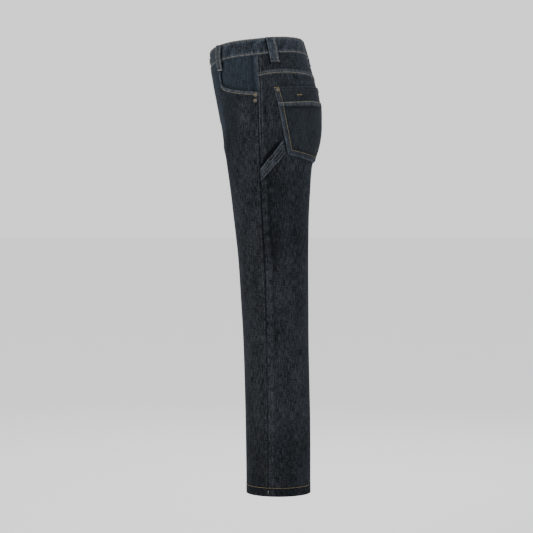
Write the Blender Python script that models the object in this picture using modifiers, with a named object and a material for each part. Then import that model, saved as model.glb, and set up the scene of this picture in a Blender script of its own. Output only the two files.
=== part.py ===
"""Straight-leg work jeans in the hollow shape that they keep when worn, with no wearer.

Metres, +Z up, front facing -Y and the wearer's left at +X. The origin is the middle of the waist, where the
wearer holds the garment up. Driving dimensions below are millimetres: heights are measured up from the hem,
and "arc" is a tape measure laid level round the outside, from the side seam (minus to the front, plus to the
back).
"""

import bpy
import bmesh
import math
import numpy as np
from mathutils import Vector

MM = 0.001
SMOOTH_ANGLE = 35

# Whole garment
WAIST_LEVEL = 1060.0
CLOTH = 1.6
SEAM_GAP = 0.3
LAY_GAP = 0.6
LEFT, RIGHT = 1, -1
SIDES = (("left", LEFT), ("right", RIGHT))

# Level sections of the left half, from the hem up: front-most and rear-most y, half width, y of the widest
# point, x of the front-most and rear-most points, and how square the outer corners are
SECTION_COLUMNS = ("height", "front", "back", "half_width", "wide_y", "front_x", "back_x", "square")
SECTIONS = (
    (0, -27.8, 126.2, 178.0, 49.0, 115, 115, 2.00),
    (76, -28.6, 126.2, 178.0, 48.5, 114, 114, 2.00),
    (173, -30.0, 125.6, 178.0, 47.5, 113, 113, 2.00),
    (269, -32.2, 123.6, 178.0, 45.5, 111, 111, 2.00),
    (365, -35.3, 121.7, 178.5, 43.0, 109, 109, 2.00),
    (461, -40.8, 121.1, 179.5, 40.0, 107, 107, 2.02),
    (557, -47.0, 120.6, 181.5, 36.5, 105, 105, 2.05),
    (653, -57.5, 121.7, 184.0, 32.0, 103, 102, 2.08),
    (724, -65.9, 125.1, 186.0, 29.0, 101, 99, 2.10),
    (772, -72.5, 128.5, 187.0, 27.0, 98, 96, 2.10),
    (798, -76.3, 134.0, 187.3, 26.0, 92, 93, 2.12),
    (821, -80.6, 141.6, 187.3, 25.0, 74, 90, 2.15),
    (846, -84.3, 147.1, 187.0, 24.0, 44, 86, 2.20),
    (871, -88.1, 149.5, 186.3, 23.0, 15, 81, 2.25),
    (895, -92.5, 149.7, 185.3, 21.0, 0, 74, 2.30),
    (920, -97.1, 148.9, 183.3, 19.0, 0, 65, 2.32),
    (944, -101.7, 145.0, 180.6, 16.0, 0, 56, 2.32),
    (968, -106.5, 141.1, 177.0, 13.0, 0, 46, 2.32),
    (993, -110.8, 135.1, 172.5, 10.0, 0, 34, 2.32),
    (1017, -114.6, 129.0, 167.0, 6.0, 0, 20, 2.32),
    (1041, -115.8, 121.4, 161.0, 3.0, 0, 8, 2.30),
    (1058, -117.2, 116.3, 157.0, 1.0, 0, 0, 2.30),
    (1090, -118.4, 106.6, 152.5, 0.0, 0, 0, 2.30),
)

# Crotch: where the four panels meet, and the curves of the two rises above it
CROTCH_HEIGHT = 798.0
CROTCH_Y = 6.0
FRONT_RISE, FRONT_RISE_POWER = 85.0, 2.0
BACK_RISE, BACK_RISE_POWER = 150.0, 2.4
CROTCH_ARCH = 14.0
CROTCH_SOFT, CROTCH_FADE, CORNER_REACH = 12.0, 2.5, 6
FRONT_THIGH_POWER, BACK_THIGH_POWER = 1.5, 2.0
HEM_INNER_X = 52.0

INSEAM_COLUMNS = ("height", "y")
INSEAM = ((0, 49.0), (461, 40.0), (557, 35.0), (653, 28.0), (724, 20.0), (772, 11.0), (798, CROTCH_Y))
SIDE_SEAM_COLUMNS = ("height", "y")
SIDE_SEAM = ((0, 24.6), (219, 22.5), (363, 20.4), (533, 16.9), (623, 11.7), (739, 6.4), (830, 4.3),
             (888, 2.9), (958, 1.3), (1000, -1.3), (1038, -3.0), (1090, -4.5))

# Seam and edge lines. A share runs from 0 at the side seam to 1 at the centre front or centre back.
LINE_COLUMNS = ("share", "height")
BAND_EDGE_FRONT = ((0, 1040.0), (0.25, 1034.5), (0.5, 1027.5), (0.8, 1018.5), (1, 1015.0))
BAND_EDGE_BACK = ((0, 1040.0), (0.25, 1046.0), (0.45, 1048.5), (0.7, 1047.5), (1, 1046.5))
BAND_TOP_FRONT = ((0, 1079.6), (0.25, 1074.5), (0.5, 1067.5), (0.8, 1059.0), (1, 1055.5))
BAND_TOP_BACK = ((0, 1079.6), (0.17, 1083.6), (0.35, 1086.0), (0.6, 1087.0), (1, 1086.5))
YOKE_EDGE = ((0, 990.0), (0.08, 994.4), (0.175, 997.8), (0.285, 999.1), (0.41, 998.5), (0.56, 996.5),
             (0.675, 993.8), (0.79, 990.0), (0.89, 985.5), (1, 979.5))

# Seam ridges, hem and fly
RIDGE_WIDTH, RIDGE_FOOT, RIDGE_RISE = 8.8, 1.1, 0.8
SIDE_RIDGE_END, SIDE_RIDGE_FADE = 828.0, 5.0
HEM_FOLD, HEM_EXTRA = 22.0, 1.3
FLY_WIDTH, FLY_RISE, FLY_BOTTOM, FLY_FADE = 38.0, 0.8, 880.0, 12.0
SHIELD_UNDER, SHIELD_OVER = 8.0, 32.0
SHIELD_BOTTOM, SHIELD_CLOTH, SHIELD_DEPTH = 890.0, 1.4, 2.5
SHIELD_TOP_SHARE, SHIELD_SHAPE = 0.97, (4, 7)

# Waistband
BAND_CLOTH, BAND_PROUD = 3.0, 1.0
BAND_LEFT_END, BAND_RIGHT_END = 1.0, 34.0
BAND_LAP_STEP, BAND_STEP_LENGTH = 3.4, 15.0
BAND_FIRST_STATIONS, BAND_EVEN_START, BAND_EVEN_COUNT = (10.0, 24.0), 38.0, 56
BAND_LAST_STATIONS, BAND_LEVEL, BAND_ROWS = (12.0, 24.0), 1055.0, 3
BUTTON_FROM_CENTRE, BUTTON_RADIUS, BUTTON_HEIGHT = 15.0, 8.5, 1.9

# Front pocket mouth, in arc and height, from the waist round the corner to the side seam
MOUTH_COLUMNS = ("arc", "height")
MOUTH_CURVE_STEPS = 48
MOUTH = ((-100.0, 1052.0), (-105.5, 1015.0), (-109.5, 987.0), (-109.0, 975.5), (-103.0, 970.0),
         (-92.0, 966.5), (-70.0, 961.6), (-45.0, 958.0), (-20.0, 955.4), (4.0, 953.4))
MOUTH_FAR_ARC, MOUTH_FAR_HEIGHT, MOUTH_FAR_STEP = 12.0, 1064.0, 2.0
CUTTER_STEPS, CUTTER_LAYERS, CUTTER_REACH = 22, 6, 6.0
FACING_DEPTH, FACING_BLEND, FACING_CLEAR = 2.7, 24.0, 2.0
FACING_FRONT_ARC, FACING_LEVEL = -122.0, 1030.0
FACING_BOTTOM = ((FACING_FRONT_ARC, 952.0), (-45.0, 946.0), (0.0, 939.0))
FACING_SHAPE = (12, 10)

# Rear pocket, its second layer and the hammer loop, as (arc, height) points
POCKET_TOP = ((35.5, 964.0), (124.0, 967.5), (210.0, 967.5))
POCKET_BOTTOM = ((66.0, 808.0), (152.0, 789.0), (238.0, 808.0))
POCKET_CLOTH, POCKET_GAPE = 1.3, 2.4
GAPE_POWER, GAPE_START = 0.6, 0.55
POCKET_COLUMNS, PATCH_ROWS, POCKET_TOP_ROWS = 14, 6, 3
PATCH_TOP = ((44.5, 929.0), (130.5, 934.0), (216.5, 931.0))
STRAP_LOWER = ((0.8, 744.6), (0.8, 774.2))
STRAP_UPPER = ((61.0, 811.4), (56.0, 842.5))
STRAP_CLOTH, STRAP_STAND, STRAP_POWER = 1.8, 9.0, 1.3
STRAP_SHAPE = (4, 16)

# Belt loops: arc at the top and at the foot
LOOP_WIDTH, LOOP_CLOTH, LOOP_STAND, LOOP_FOOT, LOOP_TACK = 21.0, 1.6, 2.8, 22.0, 0.25
LOOP_LEVEL = 1040.0
LOOP_TOP_IN = 0.6
LOOP_OVER_BAND, LOOP_OVER_RUN, LOOP_BOW_START = 0.06, 0.22, 0.1
CENTRE_LOOP_STAND = 0.4
FRONT_LOOP_ARCS = (-104.0, -106.0)
SIDE_LOOP_ARCS = (33.0, 43.5)
LOOP_SHAPE = (2, 10)

# Rivets
RIVET_RADIUS, RIVET_HEIGHT, RIVET_SEAT = 4.4, 1.3, 0.15
FRONT_RIVETS = ((-6.8, 946.5), (-8.0, 933.2))
POCKET_RIVETS = ((45.5, 958.0), (203.0, 960.0))
POCKET_RIVET_SHARE = 0.95

# Turned profiles from the top's centre out and down to the seat's centre, in shares of radius and height
RIVET_PROFILE = ((0, 1), (0.45, 1), (0.6, 0.55), (0.92, 0.55), (1, 0.275), (1, 0), (0, 0))
BUTTON_PROFILE = ((0, 0.75), (0.55, 0.75), (0.68, 1), (0.85, 1), (1, 0.6), (0.97, 0.25), (0.8, 0), (0, 0))
RIVET_STEPS, BUTTON_STEPS, WELD = 14, 24, 0.00001


# Tables and curves

def column(rows, names, name):
    """One named column of a table, as an array."""
    return np.array([row[names.index(name)] for row in rows], float)


def smooth(at, keys, values):
    """A smooth curve through a table's rows that never overshoots them."""
    step = np.diff(keys)
    rate = np.diff(values) / step
    tangent = np.zeros(len(keys))
    tangent[0], tangent[-1] = rate[0], rate[-1]
    for i in range(1, len(keys) - 1):
        if rate[i - 1] * rate[i] > 0:
            tangent[i] = 2 * rate[i - 1] * rate[i] / (rate[i - 1] + rate[i])
    at = min(max(at, keys[0]), keys[-1])
    i = min(int(np.searchsorted(keys, at, side="right")) - 1, len(keys) - 2)
    t = (at - keys[i]) / step[i]
    return ((2 * t**3 - 3 * t**2 + 1) * values[i] + (t**3 - 2 * t**2 + t) * step[i] * tangent[i]
            + (3 * t**2 - 2 * t**3) * values[i + 1] + (t**3 - t**2) * step[i] * tangent[i + 1])


SECTION_TABLE = {name: column(SECTIONS, SECTION_COLUMNS, name) for name in SECTION_COLUMNS}


def section(name, height):
    return smooth(height, SECTION_TABLE["height"], SECTION_TABLE[name])


def line(rows, share):
    """Height of a seam or edge line at a share of the way from the side seam to the centre."""
    return smooth(share, column(rows, LINE_COLUMNS, "share"), column(rows, LINE_COLUMNS, "height"))


def seam_y(rows, height):
    return smooth(height, column(rows, INSEAM_COLUMNS, "height"), column(rows, INSEAM_COLUMNS, "y"))


def ease(value):
    """0 to 1 with a soft start and end."""
    value = min(max(value, 0.0), 1.0)
    return value * value * (3 - 2 * value)


# The garment's surface

def rise_curve(height, rise, power):
    """How far the crotch curve has come forward or back at this height, 0 at the crotch and 1 at its top."""
    share = min(max((height - CROTCH_HEIGHT) / rise, 0.0), 1.0)
    return (1 - (1 - share)**power)**(1 / power), share


def inner_gap(height):
    """Half the space between the legs."""
    drop = CROTCH_HEIGHT - height
    if drop <= 0:
        return 0.0
    if drop < CROTCH_ARCH:
        return math.sqrt(2 * CROTCH_ARCH * drop - drop * drop)
    widening = (drop - CROTCH_ARCH) / (CROTCH_HEIGHT - CROTCH_ARCH)
    return CROTCH_ARCH + (HEM_INNER_X - CROTCH_ARCH) * widening


def soft_end(height, centre_y, rise):
    """Where the centre seam or inseam would lie if the crotch had no corner; the thigh follows it."""
    climb = ease((height - CROTCH_HEIGHT + CROTCH_SOFT) / (rise + CROTCH_SOFT))
    drop = ease((CROTCH_HEIGHT + CROTCH_SOFT - height) / (CROTCH_FADE * CROTCH_SOFT))
    below = inner_gap(min(height, CROTCH_HEIGHT - CROTCH_ARCH))
    return below * drop, seam_y(INSEAM, height) * (1 - climb) + centre_y * climb


def inner_arc(centre_x, centre_y, end, soft, crease, steps):
    """From the front-most or rear-most point to the centre seam or inseam: part thigh, part smooth front."""
    end_x, end_y = end
    soft_x, soft_y = soft
    turn = np.linspace(0, math.pi / 2, steps)
    near_end = np.sin(turn)**CORNER_REACH
    thigh_x = centre_x - (centre_x - soft_x) * np.sin(turn) + (end_x - soft_x) * near_end
    thigh_y = soft_y - (soft_y - centre_y) * np.cos(turn) + (end_y - soft_y) * near_end
    along = np.linspace(0, 1, steps)
    flat_x = centre_x + (end_x - centre_x) * along
    flat_y = centre_y + (end_y - centre_y) * (1 - np.cos(math.pi * along)) / 2
    return crease * thigh_x + (1 - crease) * flat_x, crease * thigh_y + (1 - crease) * flat_y


def outer_arc(start_x, start_y, wide_x, wide_y, square, steps):
    """From the front-most or rear-most point round to the widest point at the side."""
    turn = np.linspace(0, math.pi / 2, steps)
    x = start_x + (wide_x - start_x) * np.sin(turn)**(2 / square)
    y = wide_y - (wide_y - start_y) * np.abs(np.cos(turn))**(2 / square)
    return x, y


RINGS = {}
ARC_STEPS = 40
TOO_CLOSE = 1e-6
SIDE_REGION = 0.6


def ring(height):
    """The left half cut level at this height: arc from the side seam, x and y, from front end to back end."""
    key = round(height, 3)
    if key in RINGS:
        return RINGS[key]
    front, back = section("front", height), section("back", height)
    wide_x, wide_y = section("half_width", height), section("wide_y", height)
    front_x, back_x = section("front_x", height), section("back_x", height)
    square = section("square", height)
    front_gain, front_share = rise_curve(height, FRONT_RISE, FRONT_RISE_POWER)
    back_gain, back_share = rise_curve(height, BACK_RISE, BACK_RISE_POWER)
    end_y = seam_y(INSEAM, height)
    end_x = inner_gap(height)
    front_end_y = end_y + (front - end_y) * front_gain
    back_end_y = end_y + (back - end_y) * back_gain
    front_soft = soft_end(height, front, FRONT_RISE)
    back_soft = soft_end(height, back, BACK_RISE)
    front_thigh = (1 - front_share)**FRONT_THIGH_POWER
    back_thigh = (1 - back_share)**BACK_THIGH_POWER
    front_inner = inner_arc(front_x, front, (end_x, front_end_y), front_soft, front_thigh, ARC_STEPS)
    back_inner = inner_arc(back_x, back, (end_x, back_end_y), back_soft, back_thigh, ARC_STEPS)
    arcs = (
        [a[::-1] for a in front_inner],
        outer_arc(front_x, front, wide_x, wide_y, square, ARC_STEPS),
        [a[::-1] for a in outer_arc(back_x, back, wide_x, wide_y, square, ARC_STEPS)],
        back_inner,
    )
    x = np.concatenate([a[0] for a in arcs])
    y = np.concatenate([a[1] for a in arcs])
    apart = np.concatenate(([True], np.hypot(np.diff(x), np.diff(y)) > TOO_CLOSE))
    x, y = x[apart], y[apart]
    arc = np.concatenate(([0], np.cumsum(np.hypot(np.diff(x), np.diff(y)))))
    side = (x > front_x + 1) & (x > SIDE_REGION * wide_x)
    arc = arc - np.interp(seam_y(SIDE_SEAM, height), y[side], arc[side])
    RINGS[key] = (arc, x, y)
    return RINGS[key]


def surface(arc, height):
    track, x, y = ring(height)
    return np.array((np.interp(arc, track, x), np.interp(arc, track, y), height))


def front_length(height):
    return -ring(height)[0][0]


def back_length(height):
    return ring(height)[0][-1]


def grid_normals(points):
    """Outward normals of a grid whose columns run from the centre front to the centre back, rows upward."""
    along = np.gradient(points, axis=1)
    up = np.gradient(points, axis=0)
    normal = np.cross(along, up)
    return normal / np.linalg.norm(normal, axis=2, keepdims=True)


# Turning points into solids

def cloth_material(name, colour, roughness, metallic=0.0):
    material = bpy.data.materials.new(name)
    material.use_nodes = True
    shader = material.node_tree.nodes["Principled BSDF"]
    shader.inputs["Base Color"].default_value = (*colour, 1)
    shader.inputs["Roughness"].default_value = roughness
    shader.inputs["Metallic"].default_value = metallic
    material.diffuse_color = (*colour, 1)
    return material


def to_metres(points):
    moved = np.array(points, float)
    moved[..., 2] -= WAIST_LEVEL
    return moved * MM


def wall(name, outer, inner, side, material, collection):
    """A closed wall lofted between a grid of outer points and the same grid of inner points."""
    outer, inner = to_metres(outer), to_metres(inner)
    outer[..., 0] *= side
    inner[..., 0] *= side
    rows, cols = outer.shape[:2]
    mesh_data = bmesh.new()
    faces_out = [[mesh_data.verts.new(p) for p in row] for row in outer]
    faces_in = [[mesh_data.verts.new(p) for p in row] for row in inner]
    for r in range(rows - 1):
        for c in range(cols - 1):
            mesh_data.faces.new((faces_out[r][c], faces_out[r][c + 1], faces_out[r + 1][c + 1],
                                 faces_out[r + 1][c]))
            mesh_data.faces.new((faces_in[r][c], faces_in[r + 1][c], faces_in[r + 1][c + 1],
                                 faces_in[r][c + 1]))
    border = [(0, c) for c in range(cols)] + [(r, cols - 1) for r in range(1, rows)]
    border += [(rows - 1, c) for c in range(cols - 2, -1, -1)] + [(r, 0) for r in range(rows - 2, 0, -1)]
    for here, there in zip(border, border[1:] + border[:1]):
        mesh_data.faces.new((faces_out[there[0]][there[1]], faces_out[here[0]][here[1]],
                             faces_in[here[0]][here[1]], faces_in[there[0]][there[1]]))
    bmesh.ops.recalc_face_normals(mesh_data, faces=mesh_data.faces)
    if mesh_data.calc_volume(signed=True) < 0:
        bmesh.ops.reverse_faces(mesh_data, faces=mesh_data.faces)
    return finish_mesh(name, mesh_data, material, collection)


def finish_mesh(name, mesh_data, material, collection):
    mesh = bpy.data.meshes.new(name)
    mesh_data.to_mesh(mesh)
    mesh_data.free()
    mesh.materials.append(material)
    mesh.shade_smooth()
    mesh.set_sharp_from_angle(angle=math.radians(SMOOTH_ANGLE))
    piece = bpy.data.objects.new(name, mesh)
    collection.objects.link(piece)
    return piece


# Panels: one grid over the left half, sliced at the seams

CROTCH_OFFSETS = (-60, -30, -12, -4, 0, 1.4, 5.6, 13, 23, 36, 51)
LEG_HEIGHTS = (0, 21, 23.2, 95, 175, 255, 335, 415, 495, 570, 640, 700)
UPPER_START = 868.0
UPPER_SHARES = (0.0, 0.25, 0.5, 0.75, 1.0)
YOKE_ROWS = ("foot", "ridge", "ridge_end", "middle", "top")
FRONT_COLUMNS_COUNT = 12
BACK_COLUMNS_COUNT = 12
NOMINAL_BACK = 262.0
FRONT_ROW_DROP = 12.0


def row_list():
    """The grid's rows, from the hem up."""
    rows = [("level", h) for h in LEG_HEIGHTS]
    rows += [("level", CROTCH_HEIGHT + offset) for offset in CROTCH_OFFSETS]
    rows += [("upper", share) for share in UPPER_SHARES]
    rows += [("yoke", name) for name in YOKE_ROWS]
    return rows


def column_list():
    columns = [("front", 1 - i / FRONT_COLUMNS_COUNT) for i in range(FRONT_COLUMNS_COUNT + 1)]
    columns += [("ridge", SEAM_GAP / 2), ("ridge", RIDGE_WIDTH), ("ridge", RIDGE_WIDTH + RIDGE_FOOT)]
    columns += [("back", i / BACK_COLUMNS_COUNT) for i in range(1, BACK_COLUMNS_COUNT + 1)]
    return columns


ROWS = row_list()
COLUMNS = column_list()
FRONT_CUT = FRONT_COLUMNS_COUNT + 1
YOKE_CUT = len(ROWS) - len(YOKE_ROWS)


def row_height(row, part, share):
    """Height of a row at a share of the way to the centre of the front or of the back."""
    kind, value = row
    if kind == "level":
        return value
    band_edge = line(BAND_EDGE_FRONT if part == "front" else BAND_EDGE_BACK, share) - SEAM_GAP / 2
    yoke_edge = line(YOKE_EDGE, 0) - FRONT_ROW_DROP * share if part == "front" else line(YOKE_EDGE, share)
    if kind == "upper":
        return UPPER_START + (yoke_edge - SEAM_GAP / 2 - UPPER_START) * value
    ridge_end = yoke_edge + RIDGE_WIDTH + RIDGE_FOOT
    return {"foot": yoke_edge + SEAM_GAP / 2, "ridge": yoke_edge + RIDGE_WIDTH, "ridge_end": ridge_end,
            "middle": (ridge_end + band_edge) / 2, "top": band_edge}[value]


def grid_arc(column_entry, height):
    kind, value = column_entry
    if kind == "front":
        return -(SEAM_GAP / 2 + value * (front_length(height) - SEAM_GAP))
    if kind == "ridge":
        return value
    start = RIDGE_WIDTH + RIDGE_FOOT
    return start + value * (back_length(height) - SEAM_GAP / 2 - start)


def half_grid():
    """Outer points and normals of the whole left half."""
    points = np.zeros((len(ROWS), len(COLUMNS), 3))
    for r, row in enumerate(ROWS):
        for c, entry in enumerate(COLUMNS):
            part = "front" if c < FRONT_CUT else "back"
            share = entry[1]
            if entry[0] == "ridge":
                share = entry[1] / NOMINAL_BACK
            height = row_height(row, part, share)
            points[r, c] = surface(grid_arc(entry, height), height)
    normals = grid_normals(points)
    join_inseam(points, normals)
    join_side_seam(points, normals)
    for c in (0, len(COLUMNS) - 1):
        keep_to_side(normals[:, c], points[:, c])
    points[..., 0] = np.maximum(points[..., 0], SEAM_GAP / 2)
    return points, normals


def join_inseam(points, normals):
    """Below the crotch the first and last columns meet, so they share one normal across the seam."""
    for r, row in enumerate(ROWS):
        if row[0] != "level" or row[1] > CROTCH_HEIGHT:
            continue
        along = points[r, 1] - points[r, -2]
        above, below = points[r + 1], points[max(r - 1, 0)]
        up = (above[0] + above[-1]) / 2 - (below[0] + below[-1]) / 2
        normal = np.cross(along, up)
        normals[r, 0] = normals[r, -1] = normal / np.linalg.norm(normal)


def join_side_seam(points, normals):
    """The two edges of the side seam share one normal, and so do the two edges of the yoke seam."""
    along = points[:, FRONT_CUT + 1] - points[:, FRONT_CUT - 2]
    normal = np.cross(along, np.gradient(points[:, FRONT_CUT], axis=0))
    normal /= np.linalg.norm(normal, axis=1, keepdims=True)
    normals[:, FRONT_CUT - 1] = normals[:, FRONT_CUT] = normal
    yoke = normals[YOKE_CUT - 1, FRONT_CUT:] + normals[YOKE_CUT, FRONT_CUT:]
    yoke /= np.linalg.norm(yoke, axis=1, keepdims=True)
    normals[YOKE_CUT - 1, FRONT_CUT:] = normals[YOKE_CUT, FRONT_CUT:] = yoke


def keep_to_side(normals, points):
    """A wall that ends at the centre line stays on its own side of it."""
    for i, point in enumerate(points):
        if point[0] < 1.0:
            normals[i, 0] = min(normals[i, 0], 0.0)
            normals[i] /= np.linalg.norm(normals[i])


def side_ridge(height):
    return ease((height - SIDE_RIDGE_END) / SIDE_RIDGE_FADE)


def build_panels(side_name, side, material, collection):
    points, normals = half_grid()
    lift = np.zeros(points.shape[:2])
    extra = np.zeros(points.shape[:2])
    heights = points[..., 2]
    for r in range(len(ROWS)):
        for c in range(FRONT_CUT, FRONT_CUT + 2):
            lift[r, c] = RIDGE_RISE * side_ridge(heights[r, c])
        for c in range(len(COLUMNS)):
            extra[r, c] = HEM_EXTRA if heights[r, c] < HEM_FOLD else 0.0
            if side == LEFT and c < FRONT_CUT:
                from_centre = points[r, c, 0]
                reach = ease(1 - from_centre / FLY_WIDTH) * ease((heights[r, c] - FLY_BOTTOM) / FLY_FADE)
                lift[r, c] += FLY_RISE * reach
    lift[YOKE_CUT:YOKE_CUT + 2, FRONT_CUT:] = RIDGE_RISE
    outer = points + normals * lift[..., None]
    inner = points - normals * (CLOTH + extra)[..., None]
    inner[..., 0] = np.maximum(inner[..., 0], SEAM_GAP / 2)
    front_rows = [r for r, row in enumerate(ROWS) if row[1] not in ("foot", "ridge_end")]
    front = wall(f"front_{side_name}", outer[front_rows, :FRONT_CUT], inner[front_rows, :FRONT_CUT], side,
                 material, collection)
    wall(f"back_{side_name}", outer[:YOKE_CUT, FRONT_CUT:], inner[:YOKE_CUT, FRONT_CUT:], side, material,
         collection)
    wall(f"yoke_{side_name}", outer[YOKE_CUT:, FRONT_CUT:], inner[YOKE_CUT:, FRONT_CUT:], side, material,
         collection)
    return front


# Pieces laid on or under the panels

def laid_grid(place, depth, shape):
    """Points, normals and lifts over a grid of (across, along) shares; place gives arc and height."""
    cols, rows = shape
    points = np.zeros((rows + 1, cols + 1, 3))
    lifts = np.zeros((rows + 1, cols + 1))
    for r in range(rows + 1):
        for c in range(cols + 1):
            points[r, c] = surface(*place(c / cols, r / rows))
            lifts[r, c] = depth(c / cols, r / rows)
    return points, grid_normals(points), lifts[..., None]


def laid_piece(name, place, depth, thickness, shape, side, material, collection):
    """A wall over such a grid, its inner face lifted off the cloth by depth."""
    points, normals, lifts = laid_grid(place, depth, shape)
    inner = points + normals * lifts
    return wall(name, inner + normals * thickness, inner, side, material, collection)


def along_line(rows, share):
    """A point of an outline at a share of its three or more named points, straight between them."""
    at = share * (len(rows) - 1)
    i = min(int(at), len(rows) - 2)
    t = at - i
    return tuple(rows[i][k] + (rows[i + 1][k] - rows[i][k]) * t for k in range(2))


def between(top, bottom):
    """A place function that fills the cloth between a lower line and an upper line."""
    def place(across, along):
        low, high = along_line(bottom, across), along_line(top, across)
        return tuple(low[k] + (high[k] - low[k]) * along for k in range(2))
    return place


def pocket_gape(across, along):
    """The pocket's mouth stands off the back between its two tacked corners."""
    opened = max(along - GAPE_START, 0) / (1 - GAPE_START)
    return POCKET_GAPE * math.sin(math.pi * across)**GAPE_POWER * opened


def build_back_pocket(side_name, side, material, collection):
    patch_share = PATCH_ROWS / (PATCH_ROWS + POCKET_TOP_ROWS)
    lower, upper = between(PATCH_TOP, POCKET_BOTTOM), between(POCKET_TOP, PATCH_TOP)

    def place(across, along):
        if along <= patch_share:
            return lower(across, along / patch_share)
        return upper(across, (along - patch_share) / (1 - patch_share))

    points, normals, lifts = laid_grid(place, lambda across, along: LAY_GAP + pocket_gape(across, along),
                                       (POCKET_COLUMNS, PATCH_ROWS + POCKET_TOP_ROWS))
    inner = points + normals * lifts
    outer = inner + normals * POCKET_CLOTH
    wall(f"back_pocket_{side_name}", outer, inner, side, material, collection)
    patch_inner = (outer + normals * SEAM_GAP)[:PATCH_ROWS + 1]
    patch_outer = patch_inner + normals[:PATCH_ROWS + 1] * POCKET_CLOTH
    wall(f"pocket_patch_{side_name}", patch_outer, patch_inner, side, material, collection)


def build_hammer_loop(material, collection):
    def place(across, along):
        low, high = STRAP_LOWER, STRAP_UPPER
        start = [low[0][k] + (low[1][k] - low[0][k]) * across for k in range(2)]
        end = [high[0][k] + (high[1][k] - high[0][k]) * across for k in range(2)]
        return tuple(start[k] + (end[k] - start[k]) * along for k in range(2))

    def stand(across, along):
        return LAY_GAP + STRAP_STAND * math.sin(math.pi * along)**STRAP_POWER

    laid_piece("hammer_loop", lambda across, along: place(1 - across, along), stand, STRAP_CLOTH, STRAP_SHAPE,
               LEFT, material, collection)


def mouth_distance(arc, height):
    """How far a point lies inside the pocket mouth, in millimetres; nothing outside it."""
    curve = mouth_curve(MOUTH_CURVE_STEPS)
    nearest = int(np.argmin(np.hypot(curve[:, 0] - arc, curve[:, 1] - height)))
    before, after = curve[max(nearest - 1, 0)], curve[min(nearest + 1, len(curve) - 1)]
    along, across = after - before, np.array((arc, height)) - curve[nearest]
    inside = along[0] * across[1] - along[1] * across[0] > 0
    return float(np.hypot(*across)) if inside else 0.0


def mouth_curve(steps):
    """The mouth's edge as a smooth curve through its named points."""
    arcs = column(MOUTH, MOUTH_COLUMNS, "arc")
    heights = column(MOUTH, MOUTH_COLUMNS, "height")
    along = np.concatenate(([0], np.cumsum(np.hypot(np.diff(arcs), np.diff(heights)))))
    at = np.linspace(0, along[-1], steps)
    return np.array([(smooth(s, along, arcs), smooth(s, along, heights)) for s in at])


def cut_pocket_mouth(front, side_name, side, material, cutters):
    """Cut the scoop out of the front panel with a block that follows the cloth."""
    steps, layers = CUTTER_STEPS, CUTTER_LAYERS
    edge = mouth_curve(steps + 1)
    far = np.linspace(edge[0, 0] + MOUTH_FAR_STEP, MOUTH_FAR_ARC, steps + 1)
    points = np.zeros((layers + 1, steps + 1, 3))
    for i, (arc, height) in enumerate(edge):
        for k in range(layers + 1):
            t = k / layers
            points[k, i] = surface(arc + (far[i] - arc) * t, height + (MOUTH_FAR_HEIGHT - height) * t)
    normals = grid_normals(points)
    reach = normals * CUTTER_REACH
    cutter = wall(f"mouth_cutter_{side_name}", points + reach, points - reach, side, material, cutters)
    cutter.hide_render = True
    cutter.display_type = "WIRE"
    cut = front.modifiers.new("pocket mouth", "BOOLEAN")
    cut.operation = "DIFFERENCE"
    cut.solver = "EXACT"
    cut.object = cutter


def build_facing(side_name, side, material, collection):
    """The facing behind the mouth: level with the seams, and under the front panel along its cut edge."""
    def place(across, along):
        arc = FACING_FRONT_ARC * (1 - across) - SEAM_GAP / 2 * across
        bottom = along_line(FACING_BOTTOM, across)[1]
        top = line(BAND_EDGE_FRONT, -arc / front_length(FACING_LEVEL)) - SEAM_GAP / 2
        return arc, bottom + (top - bottom) * along

    def depth(across, along):
        inside = mouth_distance(*place(across, along))
        return -CLOTH - FACING_DEPTH * (1 - ease((inside - FACING_CLEAR) / FACING_BLEND))

    laid_piece(f"pocket_facing_{side_name}", place, depth, CLOTH, FACING_SHAPE, side, material, collection)


def build_fly_shield(material, collection):
    """The underlap behind the two fronts, across the centre line."""
    cols, rows = SHIELD_SHAPE
    points = np.zeros((rows + 1, cols + 1, 3))
    for r in range(rows + 1):
        for c in range(cols + 1):
            across = SHIELD_OVER - (SHIELD_OVER + SHIELD_UNDER) * c / cols
            top = line(BAND_EDGE_FRONT, SHIELD_TOP_SHARE) - SEAM_GAP
            height = SHIELD_BOTTOM + (top - SHIELD_BOTTOM) * r / rows
            point = surface(-(front_length(height) - abs(across)), height)
            point[0] *= -1 if across < 0 else 1
            points[r, c] = point
    normals = grid_normals(points[:, ::-1])[:, ::-1]
    if normals[0, 0, 1] > 0:
        normals = -normals
    outer = points - normals * SHIELD_DEPTH
    wall("fly_shield", outer, outer - normals * SHIELD_CLOTH, LEFT, material, collection)


# Waistband, belt loops

NEAR = 2.0
CENTRE_SHARE = 0.99


def band_point(arc_from_front, share_up, lift):
    """A point of the band, by arc from the centre front round by the left side, back and right side."""
    half = front_length(BAND_LEVEL) + back_length(BAND_LEVEL)
    turn = arc_from_front % (2 * half)
    side = LEFT if turn <= half else RIGHT
    reach = turn if turn <= half else 2 * half - turn
    from_seam = reach - front_length(BAND_LEVEL)
    if from_seam < 0:
        share = -from_seam / front_length(BAND_LEVEL)
        low, high = line(BAND_EDGE_FRONT, share), line(BAND_TOP_FRONT, share)
    else:
        share = from_seam / back_length(BAND_LEVEL)
        low, high = line(BAND_EDGE_BACK, share), line(BAND_TOP_BACK, share)
    height = low + SEAM_GAP / 2 + (high - low - SEAM_GAP / 2) * share_up
    arc = -share * front_length(height) if from_seam < 0 else share * back_length(height)
    along = surface(arc + NEAR, height) - surface(arc - NEAR, height)
    if share > CENTRE_SHARE:
        along = np.array((1.0 if from_seam < 0 else -1.0, 0, 0))
    up = surface(arc, height + NEAR) - surface(arc, height - NEAR)
    normal = np.cross(along, up)
    point = surface(arc, height) + normal / np.linalg.norm(normal) * lift
    point[0] *= side
    return point


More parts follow.
